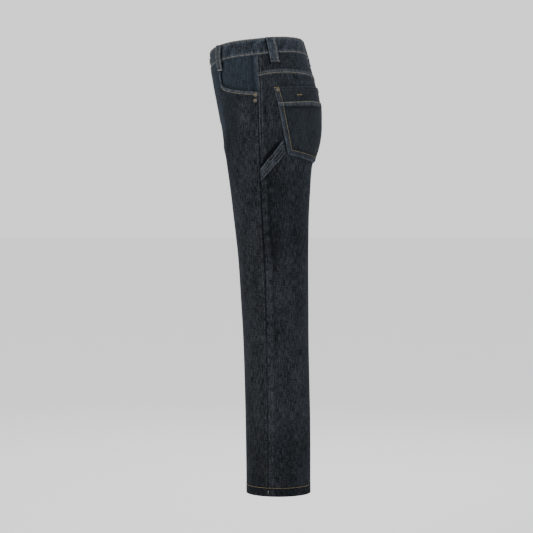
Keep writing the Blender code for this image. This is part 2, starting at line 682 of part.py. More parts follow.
def build_waistband(material, collection):
    half = front_length(BAND_LEVEL) + back_length(BAND_LEVEL)
    around = np.linspace(BAND_EVEN_START, 2 * half - BAND_EVEN_START, BAND_EVEN_COUNT)
    step_end = 2 * half - BAND_LEFT_END - BAND_CLOTH
    stations = [-BAND_LEFT_END, *BAND_FIRST_STATIONS, *around]
    stations += [step_end - BAND_STEP_LENGTH, step_end - BAND_STEP_LENGTH / 2, step_end]
    stations += [2 * half + further for further in (*BAND_LAST_STATIONS, BAND_RIGHT_END)]
    outer = np.zeros((BAND_ROWS + 1, len(stations), 3))
    inner = np.zeros_like(outer)
    for c, station in enumerate(stations):
        step_in = BAND_LAP_STEP * ease((station - step_end + BAND_STEP_LENGTH) / BAND_STEP_LENGTH)
        for r in range(BAND_ROWS + 1):
            outer[r, c] = band_point(station, r / BAND_ROWS, BAND_PROUD - step_in)
            inner[r, c] = band_point(station, r / BAND_ROWS, BAND_PROUD - BAND_CLOTH - step_in)
    wall("waistband", outer, inner, LEFT, material, collection)


def loop_stand(along, stand):
    """A belt loop is tacked at its foot, crosses the band and stands a little off it."""
    over_band = ease((along - LOOP_OVER_BAND) / LOOP_OVER_RUN)
    bow = math.sin(math.pi * max(along - LOOP_BOW_START, 0) / (1 - LOOP_BOW_START))
    return LAY_GAP + LOOP_TACK + over_band * BAND_PROUD + stand * bow


def build_belt_loop(name, part, arcs, side, material, collection):
    """A loop sewn at the band's top edge and at its foot below the band."""
    top_arc, foot_arc = arcs

    def place(across, along):
        centre = foot_arc + (top_arc - foot_arc) * along
        arc = centre + LOOP_WIDTH * (across - 0.5)
        share = abs(centre) / (front_length if part == "front" else back_length)(LOOP_LEVEL)
        edge = line(BAND_EDGE_FRONT if part == "front" else BAND_EDGE_BACK, share)
        top = line(BAND_TOP_FRONT if part == "front" else BAND_TOP_BACK, share)
        return arc, edge - LOOP_FOOT + (top - LOOP_TOP_IN - edge + LOOP_FOOT) * along

    laid_piece(name, place, lambda across, along: loop_stand(along, LOOP_STAND), LOOP_CLOTH, LOOP_SHAPE, side,
               material, collection)


def build_centre_loop(material, collection):
    """The loop at the centre back, across both halves, which lies flatter."""
    cols, rows = LOOP_SHAPE
    points = np.zeros((rows + 1, cols + 1, 3))
    lifts = np.zeros((rows + 1, cols + 1))
    low = line(BAND_EDGE_BACK, 1) - LOOP_FOOT
    high = line(BAND_TOP_BACK, 1) - LOOP_TOP_IN
    for r in range(rows + 1):
        for c in range(cols + 1):
            height = low + (high - low) * r / rows
            across = LOOP_WIDTH * (c / cols - 0.5)
            point = surface(back_length(height) - abs(across), height)
            point[0] *= -1 if across > 0 else 1
            points[r, c] = point
            lifts[r, c] = loop_stand(r / rows, CENTRE_LOOP_STAND)
    normals = grid_normals(points)
    if normals[0, 1, 1] < 0:
        normals = -normals
    inner = points + normals * lifts[..., None]
    wall("belt_loop_back", inner + normals * LOOP_CLOTH, inner, LEFT, material, collection)


# Turned metal

def turned(name, profile, steps, at, normal, side, material, collection):
    """A profile from the axis at the top, out and down to the axis at the seat, turned round its axis."""
    mesh = bpy.data.meshes.new(name)
    points = [(radius * MM, 0, height * MM) for radius, height in profile]
    mesh.from_pydata(points, [(i, i + 1) for i in range(len(points) - 1)], [])
    mesh.materials.append(material)
    piece = bpy.data.objects.new(name, mesh)
    collection.objects.link(piece)
    screw = piece.modifiers.new("turn", "SCREW")
    screw.axis = "Z"
    screw.angle = math.tau
    screw.steps = screw.render_steps = steps
    screw.use_merge_vertices = True
    screw.merge_threshold = WELD
    screw.use_smooth_shade = True
    point = to_metres(at)
    direction = Vector(normal)
    point[0] *= side
    direction.x *= side
    piece.location = point
    piece.rotation_mode = "QUATERNION"
    piece.rotation_quaternion = direction.to_track_quat("Z", "Y")
    return piece


def seat_point(arc, height, lift):
    """A point over the cloth and the cloth's normal there."""
    along = surface(arc + NEAR, height) - surface(arc - NEAR, height)
    up = surface(arc, height + NEAR) - surface(arc, height - NEAR)
    normal = np.cross(along, up)
    normal /= np.linalg.norm(normal)
    return surface(arc, height) + normal * lift, normal


def scaled(profile, radius, height):
    """A profile given in shares of a radius and a height, at its real size."""
    return [(across * radius, up * height) for across, up in profile]


def build_rivets(side_name, side, material, collection):
    profile = scaled(RIVET_PROFILE, RIVET_RADIUS, RIVET_HEIGHT)
    for number, (arc, height) in enumerate(FRONT_RIVETS, start=1):
        at, normal = seat_point(arc, height, RIVET_SEAT)
        turned(f"pocket_rivet_{side_name}_{number}", profile, RIVET_STEPS, at, normal, side, material,
               collection)
    for number, (arc, height) in enumerate(POCKET_RIVETS, start=1):
        across = (arc - POCKET_TOP[0][0]) / (POCKET_TOP[2][0] - POCKET_TOP[0][0])
        lift = LAY_GAP + pocket_gape(across, POCKET_RIVET_SHARE) + POCKET_CLOTH + SEAM_GAP
        at, normal = seat_point(arc, height, lift)
        turned(f"back_pocket_rivet_{side_name}_{number}", profile, RIVET_STEPS, at, normal, side, material,
               collection)


def build_button(material, collection):
    share = 1 - BUTTON_FROM_CENTRE / front_length(BAND_LEVEL)
    height = (line(BAND_EDGE_FRONT, share) + line(BAND_TOP_FRONT, share)) / 2
    arc = -share * front_length(height)
    at, normal = seat_point(arc, height, BAND_PROUD + SEAM_GAP)
    profile = scaled(BUTTON_PROFILE, BUTTON_RADIUS, BUTTON_HEIGHT)
    turned("waist_button", profile, BUTTON_STEPS, at, normal, LEFT, material, collection)


def clear_scene():
    for piece in list(bpy.data.objects):
        bpy.data.objects.remove(piece, do_unlink=True)


def new_collection(name):
    collection = bpy.data.collections.new(name)
    bpy.context.scene.collection.children.link(collection)
    return collection


def main():
    clear_scene()
    parts = new_collection("work jeans")
    cutters = new_collection("cutters")
    denim = cloth_material("indigo denim", (0.020, 0.025, 0.033), 0.9)
    inner_denim = cloth_material("facing denim", (0.023, 0.032, 0.044), 0.9)
    strap_denim = cloth_material("doubled denim", (0.028, 0.033, 0.042), 0.88)
    brass = cloth_material("aged brass", (0.28, 0.23, 0.17), 0.42, 1.0)
    steel = cloth_material("dark steel", (0.20, 0.19, 0.18), 0.4, 1.0)
    for side_name, side in SIDES:
        front = build_panels(side_name, side, denim, parts)
        cut_pocket_mouth(front, side_name, side, denim, cutters)
        build_facing(side_name, side, inner_denim, parts)
        build_back_pocket(side_name, side, denim, parts)
        build_belt_loop(f"belt_loop_front_{side_name}", "front", FRONT_LOOP_ARCS, side, strap_denim, parts)
        build_belt_loop(f"belt_loop_side_{side_name}", "back", SIDE_LOOP_ARCS, side, strap_denim, parts)
        build_rivets(side_name, side, brass, parts)
    build_centre_loop(strap_denim, parts)
    build_waistband(strap_denim, parts)
    build_fly_shield(inner_denim, parts)
    build_hammer_loop(strap_denim, parts)
    build_button(steel, parts)


main()
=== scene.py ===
# %% [markdown]
# # Work jeans in worn dark denim
#
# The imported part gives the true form: panels, yokes, band, pockets, loops, rivets and a button. Here each of
# those solids gets its cloth: a thin shell on the same form, with seam ridges, puckers, soft creases, thread
# and a procedural denim. Sizes are millimetres until a piece is placed; heights are measured up from the hem,
# and "arc" is a level tape measure from the side seam, minus to the front and plus to the back.

# %% Load the frame
import math

import bpy
import numpy as np
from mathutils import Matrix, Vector


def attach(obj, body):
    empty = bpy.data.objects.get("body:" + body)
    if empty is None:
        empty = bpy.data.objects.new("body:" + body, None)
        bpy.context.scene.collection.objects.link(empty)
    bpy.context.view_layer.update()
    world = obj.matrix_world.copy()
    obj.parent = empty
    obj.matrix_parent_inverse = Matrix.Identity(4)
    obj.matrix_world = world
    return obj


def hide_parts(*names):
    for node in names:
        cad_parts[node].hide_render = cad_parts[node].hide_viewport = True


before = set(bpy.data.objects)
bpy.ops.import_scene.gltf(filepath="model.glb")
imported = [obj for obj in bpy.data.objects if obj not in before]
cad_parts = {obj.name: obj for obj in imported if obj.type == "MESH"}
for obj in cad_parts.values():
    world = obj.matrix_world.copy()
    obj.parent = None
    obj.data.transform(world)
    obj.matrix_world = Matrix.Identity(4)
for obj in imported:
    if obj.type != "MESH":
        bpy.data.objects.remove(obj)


# %% [markdown]
# The garment's level sections, the crotch and the seam lines, with the same sizes as the part.

# %% Sizes of the garment
MM = 0.001
WAIST_LEVEL, BAND_LEVEL = 1060.0, 1055.0
CLOTH = 1.6
SEAM_GAP = 0.3
LAY_GAP = 0.6
LEFT, RIGHT = 1, -1
SIDES = (("left", LEFT), ("right", RIGHT))

SECTION_COLUMNS = ("height", "front", "back", "wide_x", "wide_y", "front_x", "back_x", "square")
SECTIONS = np.array((
    (0, -27.8, 126.2, 178.0, 49.0, 115, 115, 2.00),
    (76, -28.6, 126.2, 178.0, 48.5, 114, 114, 2.00),
    (173, -30.0, 125.6, 178.0, 47.5, 113, 113, 2.00),
    (269, -32.2, 123.6, 178.0, 45.5, 111, 111, 2.00),
    (365, -35.3, 121.7, 178.5, 43.0, 109, 109, 2.00),
    (461, -40.8, 121.1, 179.5, 40.0, 107, 107, 2.02),
    (557, -47.0, 120.6, 181.5, 36.5, 105, 105, 2.05),
    (653, -57.5, 121.7, 184.0, 32.0, 103, 102, 2.08),
    (724, -65.9, 125.1, 186.0, 29.0, 101, 99, 2.10),
    (772, -72.5, 128.5, 187.0, 27.0, 98, 96, 2.10),
    (798, -76.3, 134.0, 187.3, 26.0, 92, 93, 2.12),
    (821, -80.6, 141.6, 187.3, 25.0, 74, 90, 2.15),
    (846, -84.3, 147.1, 187.0, 24.0, 44, 86, 2.20),
    (871, -88.1, 149.5, 186.3, 23.0, 15, 81, 2.25),
    (895, -92.5, 149.7, 185.3, 21.0, 0, 74, 2.30),
    (920, -97.1, 148.9, 183.3, 19.0, 0, 65, 2.32),
    (944, -101.7, 145.0, 180.6, 16.0, 0, 56, 2.32),
    (968, -106.5, 141.1, 177.0, 13.0, 0, 46, 2.32),
    (993, -110.8, 135.1, 172.5, 10.0, 0, 34, 2.32),
    (1017, -114.6, 129.0, 167.0, 6.0, 0, 20, 2.32),
    (1041, -115.8, 121.4, 161.0, 3.0, 0, 8, 2.30),
    (1058, -117.2, 116.3, 157.0, 1.0, 0, 0, 2.30),
    (1090, -118.4, 106.6, 152.5, 0.0, 0, 0, 2.30),
))
CROTCH_HEIGHT, CROTCH_Y = 798.0, 6.0
FRONT_RISE, FRONT_RISE_POWER = 85.0, 2.0
BACK_RISE, BACK_RISE_POWER = 150.0, 2.4
CROTCH_ARCH, CROTCH_SOFT, CORNER_REACH = 14.0, 12.0, 6
HEM_INNER_X = 52.0
TOP_HEIGHT = 1090

INSEAM = ((0, 49.0), (461, 40.0), (557, 35.0), (653, 28.0), (724, 20.0), (772, 11.0), (798, CROTCH_Y))
SIDE_SEAM = ((0, 24.6), (219, 22.5), (363, 20.4), (533, 16.9), (623, 11.7), (739, 6.4), (830, 4.3),
             (888, 2.9), (958, 1.3), (1000, -1.3), (1038, -3.0), (1090, -4.5))

BAND_EDGE_FRONT = ((0, 1040.0), (0.25, 1034.5), (0.5, 1027.5), (0.8, 1018.5), (1, 1015.0))
BAND_EDGE_BACK = ((0, 1040.0), (0.25, 1046.0), (0.45, 1048.5), (0.7, 1047.5), (1, 1046.5))
BAND_TOP_FRONT = ((0, 1079.6), (0.25, 1074.5), (0.5, 1067.5), (0.8, 1059.0), (1, 1055.5))
BAND_TOP_BACK = ((0, 1079.6), (0.17, 1083.6), (0.35, 1086.0), (0.6, 1087.0), (1, 1086.5))
YOKE_EDGE = ((0, 990.0), (0.08, 994.4), (0.175, 997.8), (0.285, 999.1), (0.41, 998.5), (0.56, 996.5),
             (0.675, 993.8), (0.79, 990.0), (0.89, 985.5), (1, 979.5))

RIDGE_WIDTH, RIDGE_FOOT, RIDGE_RISE = 8.8, 1.1, 0.8
SIDE_RIDGE_END, SIDE_RIDGE_FADE = 828.0, 5.0
HEM_FOLD, HEM_ROW = 22.0, 20.6
FLY_WIDTH, FLY_RISE, FLY_BOTTOM = 38.0, 0.8, 880.0
FLY_ROW_TOP, FLY_ROW_TURN, FLY_ROW_DROP = 1016.0, 918.0, 34.0
SHIELD_UNDER, SHIELD_OVER = 8.0, 32.0
SHIELD_BOTTOM, SHIELD_CLOTH, SHIELD_DEPTH = 890.0, 1.4, 2.5

BAND_CLOTH, BAND_PROUD, BAND_TALL = 3.0, 1.0, 40.0
BAND_LEFT_END, BAND_RIGHT_END = 1.0, 34.0
BAND_LAP_STEP, BAND_STEP_LENGTH = 3.4, 15.0
BUTTON_FROM_CENTRE, BUTTON_RADIUS, BUTTON_HEIGHT = 15.0, 8.5, 1.9

MOUTH = ((-100.0, 1052.0), (-105.5, 1015.0), (-109.5, 987.0), (-109.0, 975.5), (-103.0, 970.0),
         (-92.0, 966.5), (-70.0, 961.6), (-45.0, 958.0), (-20.0, 955.4), (4.0, 953.4))
MOUTH_FAR_ARC, MOUTH_FAR_HEIGHT = 12.0, 1064.0
MOUTH_FOLD, MOUTH_LOW, MOUTH_GOLD_END, MOUTH_ROW_END = 8.5, 930.0, 972.0, 1012.0
FACING_DEPTH, FACING_BLEND, FACING_FRONT_ARC, FACING_LEVEL = 2.7, 24.0, -122.0, 1030.0
FACING_BOTTOM = ((FACING_FRONT_ARC, 952.0), (-61.0, 946.0), (0.0, 939.0))
SIDE_SEAM_TOP = 952.0

POCKET_TOP = ((35.5, 964.0), (124.0, 967.5), (210.0, 967.5))
POCKET_BOTTOM = ((66.0, 808.0), (152.0, 789.0), (238.0, 808.0))
POCKET_CLOTH, POCKET_GAPE, POCKET_INSET = 1.3, 2.4, 11.2
POCKET_WIDE, POCKET_TALL = 172.0, 168.0
PATCH_SHARE = 2 / 3
PATCH_TOP = ((44.5, 929.0), (130.5, 934.0), (216.5, 931.0))
STRAP_LOWER = ((0.8, 744.6), (0.8, 774.2))
STRAP_UPPER = ((61.0, 811.4), (56.0, 842.5))
STRAP_LINES = (0.10, 0.36, 0.64, 0.90)
STRAP_CLOTH, STRAP_STAND, STRAP_WIDTH, STRAP_LENGTH = 1.8, 9.0, 22.0, 84.0

LOOP_WIDTH, LOOP_CLOTH, LOOP_STAND, LOOP_FOOT, LOOP_TACK = 21.0, 1.6, 2.8, 22.0, 0.25
CENTRE_LOOP_STAND, CENTRE_LOOP_PRESS = 0.4, 0.7
LOOP_ROWS = (0.17, 0.83)
LOOP_LEVEL, LOOP_LOW, LOOP_TALL, LOOP_TOP_IN = 1040.0, 1018.0, 60.0, 0.6
FRONT_LOOP_ARCS = (-104.0, -106.0)
SIDE_LOOP_ARCS = (33.0, 43.5)

RIVET_RADIUS, RIVET_HEIGHT, RIVET_SEAT = 4.4, 1.3, 0.15
FRONT_RIVETS = ((-6.8, 946.5), (-8.0, 933.2))
POCKET_RIVETS = ((45.5, 958.0), (203.0, 960.0))


# %% [markdown]
# The surface of the left half is worked out once as a table of level rings, one a millimetre of height.

# %% Curves and rings
def slopes(keys, values):
    step = np.diff(keys)
    rate = np.diff(values) / step
    tangent = np.zeros(len(keys))
    tangent[0], tangent[-1] = rate[0], rate[-1]
    same = rate[:-1] * rate[1:] > 0
    tangent[1:-1][same] = 2 * (rate[:-1] * rate[1:])[same] / (rate[:-1] + rate[1:])[same]
    return step, tangent


def smooth(at, keys, values):
    """A smooth curve through a table's rows that never overshoots them."""
    keys, values = np.asarray(keys, float), np.asarray(values, float)
    step, tangent = slopes(keys, values)
    at = np.clip(at, keys[0], keys[-1])
    i = np.clip(np.searchsorted(keys, at, side="right") - 1, 0, len(keys) - 2)
    t = (at - keys[i]) / step[i]
    return ((2 * t**3 - 3 * t**2 + 1) * values[i] + (t**3 - 2 * t**2 + t) * step[i] * tangent[i]
            + (3 * t**2 - 2 * t**3) * values[i + 1] + (t**3 - t**2) * step[i] * tangent[i + 1])


def table(rows, at):
    rows = np.array(rows, float)
    return smooth(at, rows[:, 0], rows[:, 1])


def section(name, height):
    return smooth(height, SECTIONS[:, 0], SECTIONS[:, SECTION_COLUMNS.index(name)])


def ease(value):
    value = np.clip(value, 0.0, 1.0)
    return value * value * (3 - 2 * value)


def run_lengths(rows):
    """The length run at each point of a path of two columns."""
    return np.concatenate(([0], np.cumsum(np.hypot(*np.diff(rows, axis=0).T))))


def rise_curve(height, rise, power):
    share = min(max((height - CROTCH_HEIGHT) / rise, 0.0), 1.0)
    return (1 - (1 - share)**power)**(1 / power), share


def inner_gap(height):
    drop = CROTCH_HEIGHT - height
    if drop <= 0:
        return 0.0
    if drop < CROTCH_ARCH:
        return math.sqrt(2 * CROTCH_ARCH * drop - drop * drop)
    return CROTCH_ARCH + (HEM_INNER_X - CROTCH_ARCH) * (drop - CROTCH_ARCH) / (CROTCH_HEIGHT - CROTCH_ARCH)


def soft_end(height, centre_y, rise):
    climb = ease((height - CROTCH_HEIGHT + CROTCH_SOFT) / (rise + CROTCH_SOFT))
    drop = ease((CROTCH_HEIGHT + CROTCH_SOFT - height) / (2.5 * CROTCH_SOFT))
    below = inner_gap(min(height, CROTCH_HEIGHT - CROTCH_ARCH))
    return below * drop, table(INSEAM, height) * (1 - climb) + centre_y * climb


def inner_arc(centre_x, centre_y, end, soft, crease, steps):
    end_x, end_y = end
    soft_x, soft_y = soft
    turn = np.linspace(0, math.pi / 2, steps)
    near_end = np.sin(turn)**CORNER_REACH
    thigh_x = centre_x - (centre_x - soft_x) * np.sin(turn) + (end_x - soft_x) * near_end
    thigh_y = soft_y - (soft_y - centre_y) * np.cos(turn) + (end_y - soft_y) * near_end
    along = np.linspace(0, 1, steps)
    flat_x = centre_x + (end_x - centre_x) * along
    flat_y = centre_y + (end_y - centre_y) * (1 - np.cos(math.pi * along)) / 2
    return crease * thigh_x + (1 - crease) * flat_x, crease * thigh_y + (1 - crease) * flat_y


def outer_arc(start_x, start_y, wide_x, wide_y, square, steps):
    turn = np.linspace(0, math.pi / 2, steps)
    x = start_x + (wide_x - start_x) * np.sin(turn)**(2 / square)
    return x, wide_y - (wide_y - start_y) * np.abs(np.cos(turn))**(2 / square)


ARC_STEPS = 40


def ring(height):
    """The left half cut level at this height: arc from the side seam, x and y, from front end to back end."""
    front, back, wide_x, wide_y, front_x, back_x, square = (section(name, height)
                                                            for name in SECTION_COLUMNS[1:])
    end_y, end_x = table(INSEAM, height), inner_gap(height)
    inner, outer = [], []
    for centre_x, centre_y, rise, power, crease_power in ((front_x, front, FRONT_RISE, FRONT_RISE_POWER, 1.5),
                                                          (back_x, back, BACK_RISE, BACK_RISE_POWER, 2)):
        gain, share = rise_curve(height, rise, power)
        inner.append(inner_arc(centre_x, centre_y, (end_x, end_y + (centre_y - end_y) * gain),
                               soft_end(height, centre_y, rise), (1 - share)**crease_power, ARC_STEPS))
        outer.append(outer_arc(centre_x, centre_y, wide_x, wide_y, square, ARC_STEPS))
    x, y = (np.concatenate((inner[0][k][::-1], outer[0][k], outer[1][k][::-1], inner[1][k]))
            for k in range(2))
    arc = run_lengths(np.stack((x, y), axis=1))
    side = (x > front_x + 1) & (x > 0.6 * wide_x)
    return arc - np.interp(table(SIDE_SEAM, height), y[side], arc[side]), x, y


LEVELS = range(TOP_HEIGHT + 1)
RINGS = np.array([ring(height) for height in LEVELS])
print("rings", RINGS.shape)


def front_length(height):
    return np.interp(height, LEVELS, -RINGS[:, 0, 0])


def back_length(height):
    return np.interp(height, LEVELS, RINGS[:, 0, -1])


def half_length(part, height):
    return (front_length if part == "front" else back_length)(height)


def surface(arc, height):
    """Points of the bare left half, for arrays of arc and height."""
    arc, height = np.broadcast_arrays(np.asarray(arc, float), np.asarray(height, float))
    flat_arc, flat_height = arc.ravel(), np.clip(height.ravel(), 0, TOP_HEIGHT)
    low = np.minimum(flat_height.astype(int), TOP_HEIGHT - 1)
    share = flat_height - low
    points = np.zeros((flat_arc.size, 3))
    points[:, 2] = flat_height
    for key in np.unique(low):
        here = low == key
        for axis in (1, 2):
            below = np.interp(flat_arc[here], RINGS[key, 0], RINGS[key, axis])
            above = np.interp(flat_arc[here], RINGS[key + 1, 0], RINGS[key + 1, axis])
            points[here, axis - 1] = below * (1 - share[here]) + above * share[here]
    return points.reshape(arc.shape + (3,))


def cloth_normal(arc, height):
    reach = np.where(arc < 0, front_length(height), back_length(height))
    part = arc / reach
    behind = np.clip(arc - 1.5, -front_length(height), None)
    ahead = np.clip(arc + 1.5, None, back_length(height))
    along = surface(ahead, height) - surface(behind, height)
    low, high = np.clip(height - 1.5, 0, TOP_HEIGHT), np.clip(height + 1.5, 0, TOP_HEIGHT)
    low_reach = np.where(arc < 0, front_length(low), back_length(low))
    high_reach = np.where(arc < 0, front_length(high), back_length(high))
    normal = np.cross(along, surface(part * high_reach, high) - surface(part * low_reach, low))
    return normal / np.linalg.norm(normal, axis=-1, keepdims=True)


def place(arc, height, lift=0.0, side=LEFT):
    """Points in metres over the cloth at arc and height, lifted off it by lift, on either side."""
    arc, height = np.asarray(arc, float), np.asarray(height, float)
    arc, height, lift, side = np.broadcast_arrays(arc, height, lift, side)
    bare = surface(arc, height)
    normal = cloth_normal(arc, height)
    centred = np.clip(bare[..., 0] / 2, 0, 1)
    normal[..., 0] *= np.where(height > CROTCH_HEIGHT + 20, centred, 1)
    normal /= np.linalg.norm(normal, axis=-1, keepdims=True)
    points = bare + normal * lift[..., None]
    points[..., 0] = np.maximum(points[..., 0], 0.0) * side
    points[..., 2] -= WAIST_LEVEL
    return points * MM


# %% [markdown]
# Folds and wear. Each crease is listed: where it starts and ends, its width and its height, minus for
# a trough. The photo shows almost none below the hip; the two sides get similar ones in their own sizes.

# %% Creases and puckers
CREASES = {
    LEFT: (
        (15, 962, 19, 842, 5.0, -1.1), (25, 948, 29, 856, 5.5, 0.8), (33, 930, 43, 852, 5.0, -0.9),
        (47, 905, 56, 858, 4.5, 0.6), (12, 812, 20, 778, 5.0, -0.6),
        (-34, 936, -40, 842, 11.0, 0.8), (-60, 918, -66, 806, 13.0, -0.7), (-88, 930, -96, 836, 10.0, 0.7),
        (2, 737, 27, 729, 3.6, -0.9), (4, 727, 38, 722, 3.8, 0.6), (6, 716, 30, 708, 4.2, -0.5),
        (58, 772, 96, 748, 6.5, -0.7), (74, 762, 118, 734, 7.5, 0.6), (124, 772, 178, 752, 7.0, -1.0),
        (14, 640, 17, 486, 5.0, 0.7), (23, 628, 25, 470, 5.5, -0.9), (34, 560, 33, 402, 6.0, 0.5),
        (16, 452, 15, 318, 5.0, 0.6), (25, 436, 24, 300, 6.0, -0.7), (-22, 596, -24, 430, 8.0, -0.5),
        (-46, 352, -44, 224, 9.0, 0.5), (60, 336, 58, 196, 9.0, 0.6), (92, 500, 88, 372, 11.0, -0.7),
        (10, 262, 34, 256, 3.8, -0.5), (-52, 402, -18, 398, 4.2, -0.4), (48, 132, 66, 118, 4.5, -0.5),
        (-150, 858, -122, 830, 7.0, -1.4), (-164, 838, -128, 806, 8.0, 1.1),
        (-178, 812, -138, 786, 8.0, -1.3),
        (-186, 776, -148, 764, 8.5, 0.9), (176, 560, 206, 548, 8.0, -1.0), (168, 534, 208, 520, 9.0, 0.8),
        (212, 800, 246, 778, 7.0, -1.3), (196, 776, 244, 752, 8.0, 0.9),
    ),
    RIGHT: (
        (16, 956, 21, 848, 5.5, -1.0), (27, 940, 31, 866, 5.0, 0.7), (37, 924, 46, 862, 5.5, -0.8),
        (10, 806, 19, 764, 5.0, -0.7), (-38, 926, -43, 852, 12.0, 0.7), (-66, 906, -70, 800, 12.0, -0.8),
        (-92, 916, -98, 846, 11.0, 0.6), (5, 748, 33, 738, 4.0, -0.7), (8, 731, 42, 724, 4.5, 0.6),
        (66, 766, 104, 742, 7.0, -0.8), (130, 766, 186, 744, 8.0, -0.9), (84, 748, 128, 726, 7.5, 0.6),
        (15, 612, 19, 458, 5.5, 0.6), (24, 598, 27, 446, 6.0, -0.8), (36, 528, 34, 388, 6.5, 0.5),
        (17, 420, 16, 296, 5.5, 0.6), (27, 408, 26, 278, 6.0, -0.6), (-26, 566, -27, 408, 8.5, -0.6),
        (-50, 318, -47, 204, 9.5, 0.5), (64, 306, 61, 184, 9.0, 0.5), (96, 474, 90, 350, 11.0, -0.6),
        (44, 116, 70, 104, 5.0, -0.5), (-146, 850, -120, 826, 7.5, -1.2), (-160, 828, -126, 800, 8.5, 1.0),
        (-174, 802, -136, 780, 8.0, -1.2), (172, 548, 204, 538, 8.5, -0.9), (166, 522, 200, 510, 9.0, 0.7),
        (208, 792, 242, 768, 7.5, -1.2), (190, 770, 238, 744, 8.5, 0.8),
    ),
}


def ripple(along, seed, pitch):
    """An uneven ripple from -1 to 1 along a seam, its pitch in millimetres."""
    base = 2 * math.pi * along / pitch
    return (0.5 * np.sin(base + 1.7 * seed) + 0.3 * np.sin(1.63 * base + 0.6 * seed + 1)
            + 0.2 * np.sin(0.47 * base + 2.3 * seed) * np.sin(2.9 * base + seed))


def relief(arc, height, side):
    """Height of the creases at arrays of arc and height."""
    arc, height = np.broadcast_arrays(np.asarray(arc, float), np.asarray(height, float))
    total = np.zeros(arc.shape)
    for number, (arc_a, height_a, arc_b, height_b, width, rise) in enumerate(CREASES[side]):
        run = np.array((arc_b - arc_a, height_b - height_a), float)
        length = math.hypot(*run)
        run /= length
        along = (arc - arc_a) * run[0] + (height - height_a) * run[1]
        wander = 0.22 * width * np.sin(along / length * 5 + number)
        across = (arc - arc_a) * run[1] - (height - height_a) * run[0] - wander
        taper = ease(1 - np.abs(2 * along / length - 0.9))
        total += rise * np.exp(-(across / width)**2) * taper
    return total


def bump(distance, width):
    return np.exp(-(distance / width)**2)


# %% [markdown]
# Denim. Warp slubs run down the cloth and weaker weft slubs across it, in the UV map, which is in metres. An
# attribute on the mesh pales worn ridges and edges and darkens the places given painted shade; a blue
# attribute cools the front.

# %% Materials
def add_node(tree, kind, **settings):
    """A new node, set down in rows of six."""
    made = tree.nodes.new(kind)
    made.location = (220 * (len(tree.nodes) % 6), -190 * (len(tree.nodes) // 6))
    for name, value in settings.items():
        setattr(made, name, value)
    return made


def set_inputs(node, values):
    for name, value in values.items():
        node.inputs[name].default_value = value


def maths(tree, operation, *values):
    made = add_node(tree, "ShaderNodeMath", operation=operation)
    for number, value in enumerate(values):
        if isinstance(value, (int, float)):
            made.inputs[number].default_value = value
        else:
            tree.links.new(value, made.inputs[number])
    return made.outputs[0]


def weighted(tree, *terms):
    """The sum of values, each times its weight."""
    total = None
    for value, weight in terms:
        term = maths(tree, "MULTIPLY", value, weight)
        total = term if total is None else maths(tree, "ADD", total, term)
    return total


def mix_colours(tree, factor, first, second, **settings):
    mix = add_node(tree, "ShaderNodeMix", data_type="RGBA", **settings)
    for socket, value in zip((mix.inputs["Factor"], mix.inputs[6], mix.inputs[7]), (factor, first, second)):
        if isinstance(value, tuple):
            socket.default_value = value
        else:
            tree.links.new(value, socket)
    return mix.outputs[2]


def noise(tree, vector, scale, detail=2.0, roughness=0.5):
    made = add_node(tree, "ShaderNodeTexNoise")
    set_inputs(made, {"Scale": scale, "Detail": detail, "Roughness": roughness})
    tree.links.new(vector, made.inputs["Vector"])
    return made.outputs[0]


def stretched_noise(tree, u, v, across, along, seed, detail):
    """Noise round zero, with its own number of cells a metre across and along the cloth."""
    vector = add_node(tree, "ShaderNodeCombineXYZ")
    tree.links.new(maths(tree, "MULTIPLY", u, across), vector.inputs[0])
    tree.links.new(maths(tree, "MULTIPLY", v, along), vector.inputs[1])
    vector.inputs[2].default_value = seed
    return maths(tree, "SUBTRACT", noise(tree, vector.outputs[0], 1.0, detail, 0.62), 0.5)


def new_group(name, inputs, outputs):
    """A node group with its sockets, and its input and output nodes."""
    tree = bpy.data.node_groups.new(name, "ShaderNodeTree")
    for in_out, sockets in (("INPUT", inputs), ("OUTPUT", outputs)):
        for socket, kind in sockets:
            tree.interface.new_socket(socket, in_out=in_out, socket_type=f"NodeSocket{kind}")
    return tree, add_node(tree, "NodeGroupInput"), add_node(tree, "NodeGroupOutput")


def denim_group():
    sockets = (("Dark", "Color"), ("Light", "Color"), ("Pale", "Float"), ("Contrast", "Float"))
    tree, inputs, outputs = new_group("denim weave", sockets, (("Color", "Color"), ("Height", "Float")))
    uv = add_node(tree, "ShaderNodeUVMap", uv_map="UVMap")
    split = add_node(tree, "ShaderNodeSeparateXYZ")
    tree.links.new(uv.outputs[0], split.inputs[0])
    u, v = split.outputs[0], split.outputs[1]
    warp = stretched_noise(tree, u, v, 480, 60, 0.0, 3.0)
    weft = stretched_noise(tree, u, v, 110, 400, 5.0, 2.0)
    cloud = stretched_noise(tree, u, v, 30, 11, 9.0, 2.0)
    streaks = weighted(tree, (warp, 1.9), (weft, 1.1), (cloud, 0.55))
    twill = maths(tree, "SINE", weighted(tree, (u, 4600.0), (v, 3400.0)))
    # This attribute carries real wear, which pales the cloth, and painted shade, which darkens it.
    wear_and_shade = add_node(tree, "ShaderNodeAttribute", attribute_name="wear_and_shade")
    worn = maths(tree, "MULTIPLY", maths(tree, "MULTIPLY_ADD", streaks, 1.6, 1.0), wear_and_shade.outputs["Fac"])
    pale = maths(tree, "MULTIPLY", streaks, inputs.outputs["Contrast"])
    for part in (inputs.outputs["Pale"], worn, maths(tree, "MULTIPLY", twill, 0.02)):
        pale = maths(tree, "ADD", pale, part)
    colour = mix_colours(tree, pale, inputs.outputs["Dark"], inputs.outputs["Light"], clamp_factor=True)
    blue = add_node(tree, "ShaderNodeAttribute", attribute_name="blue")
    cooled = mix_colours(tree, blue.outputs["Fac"], colour, (0.80, 1.02, 1.30, 1), blend_type="MULTIPLY")
    tree.links.new(cooled, outputs.inputs["Color"])
    tree.links.new(weighted(tree, (twill, 0.12), (streaks, 0.5)), outputs.inputs["Height"])
    return tree


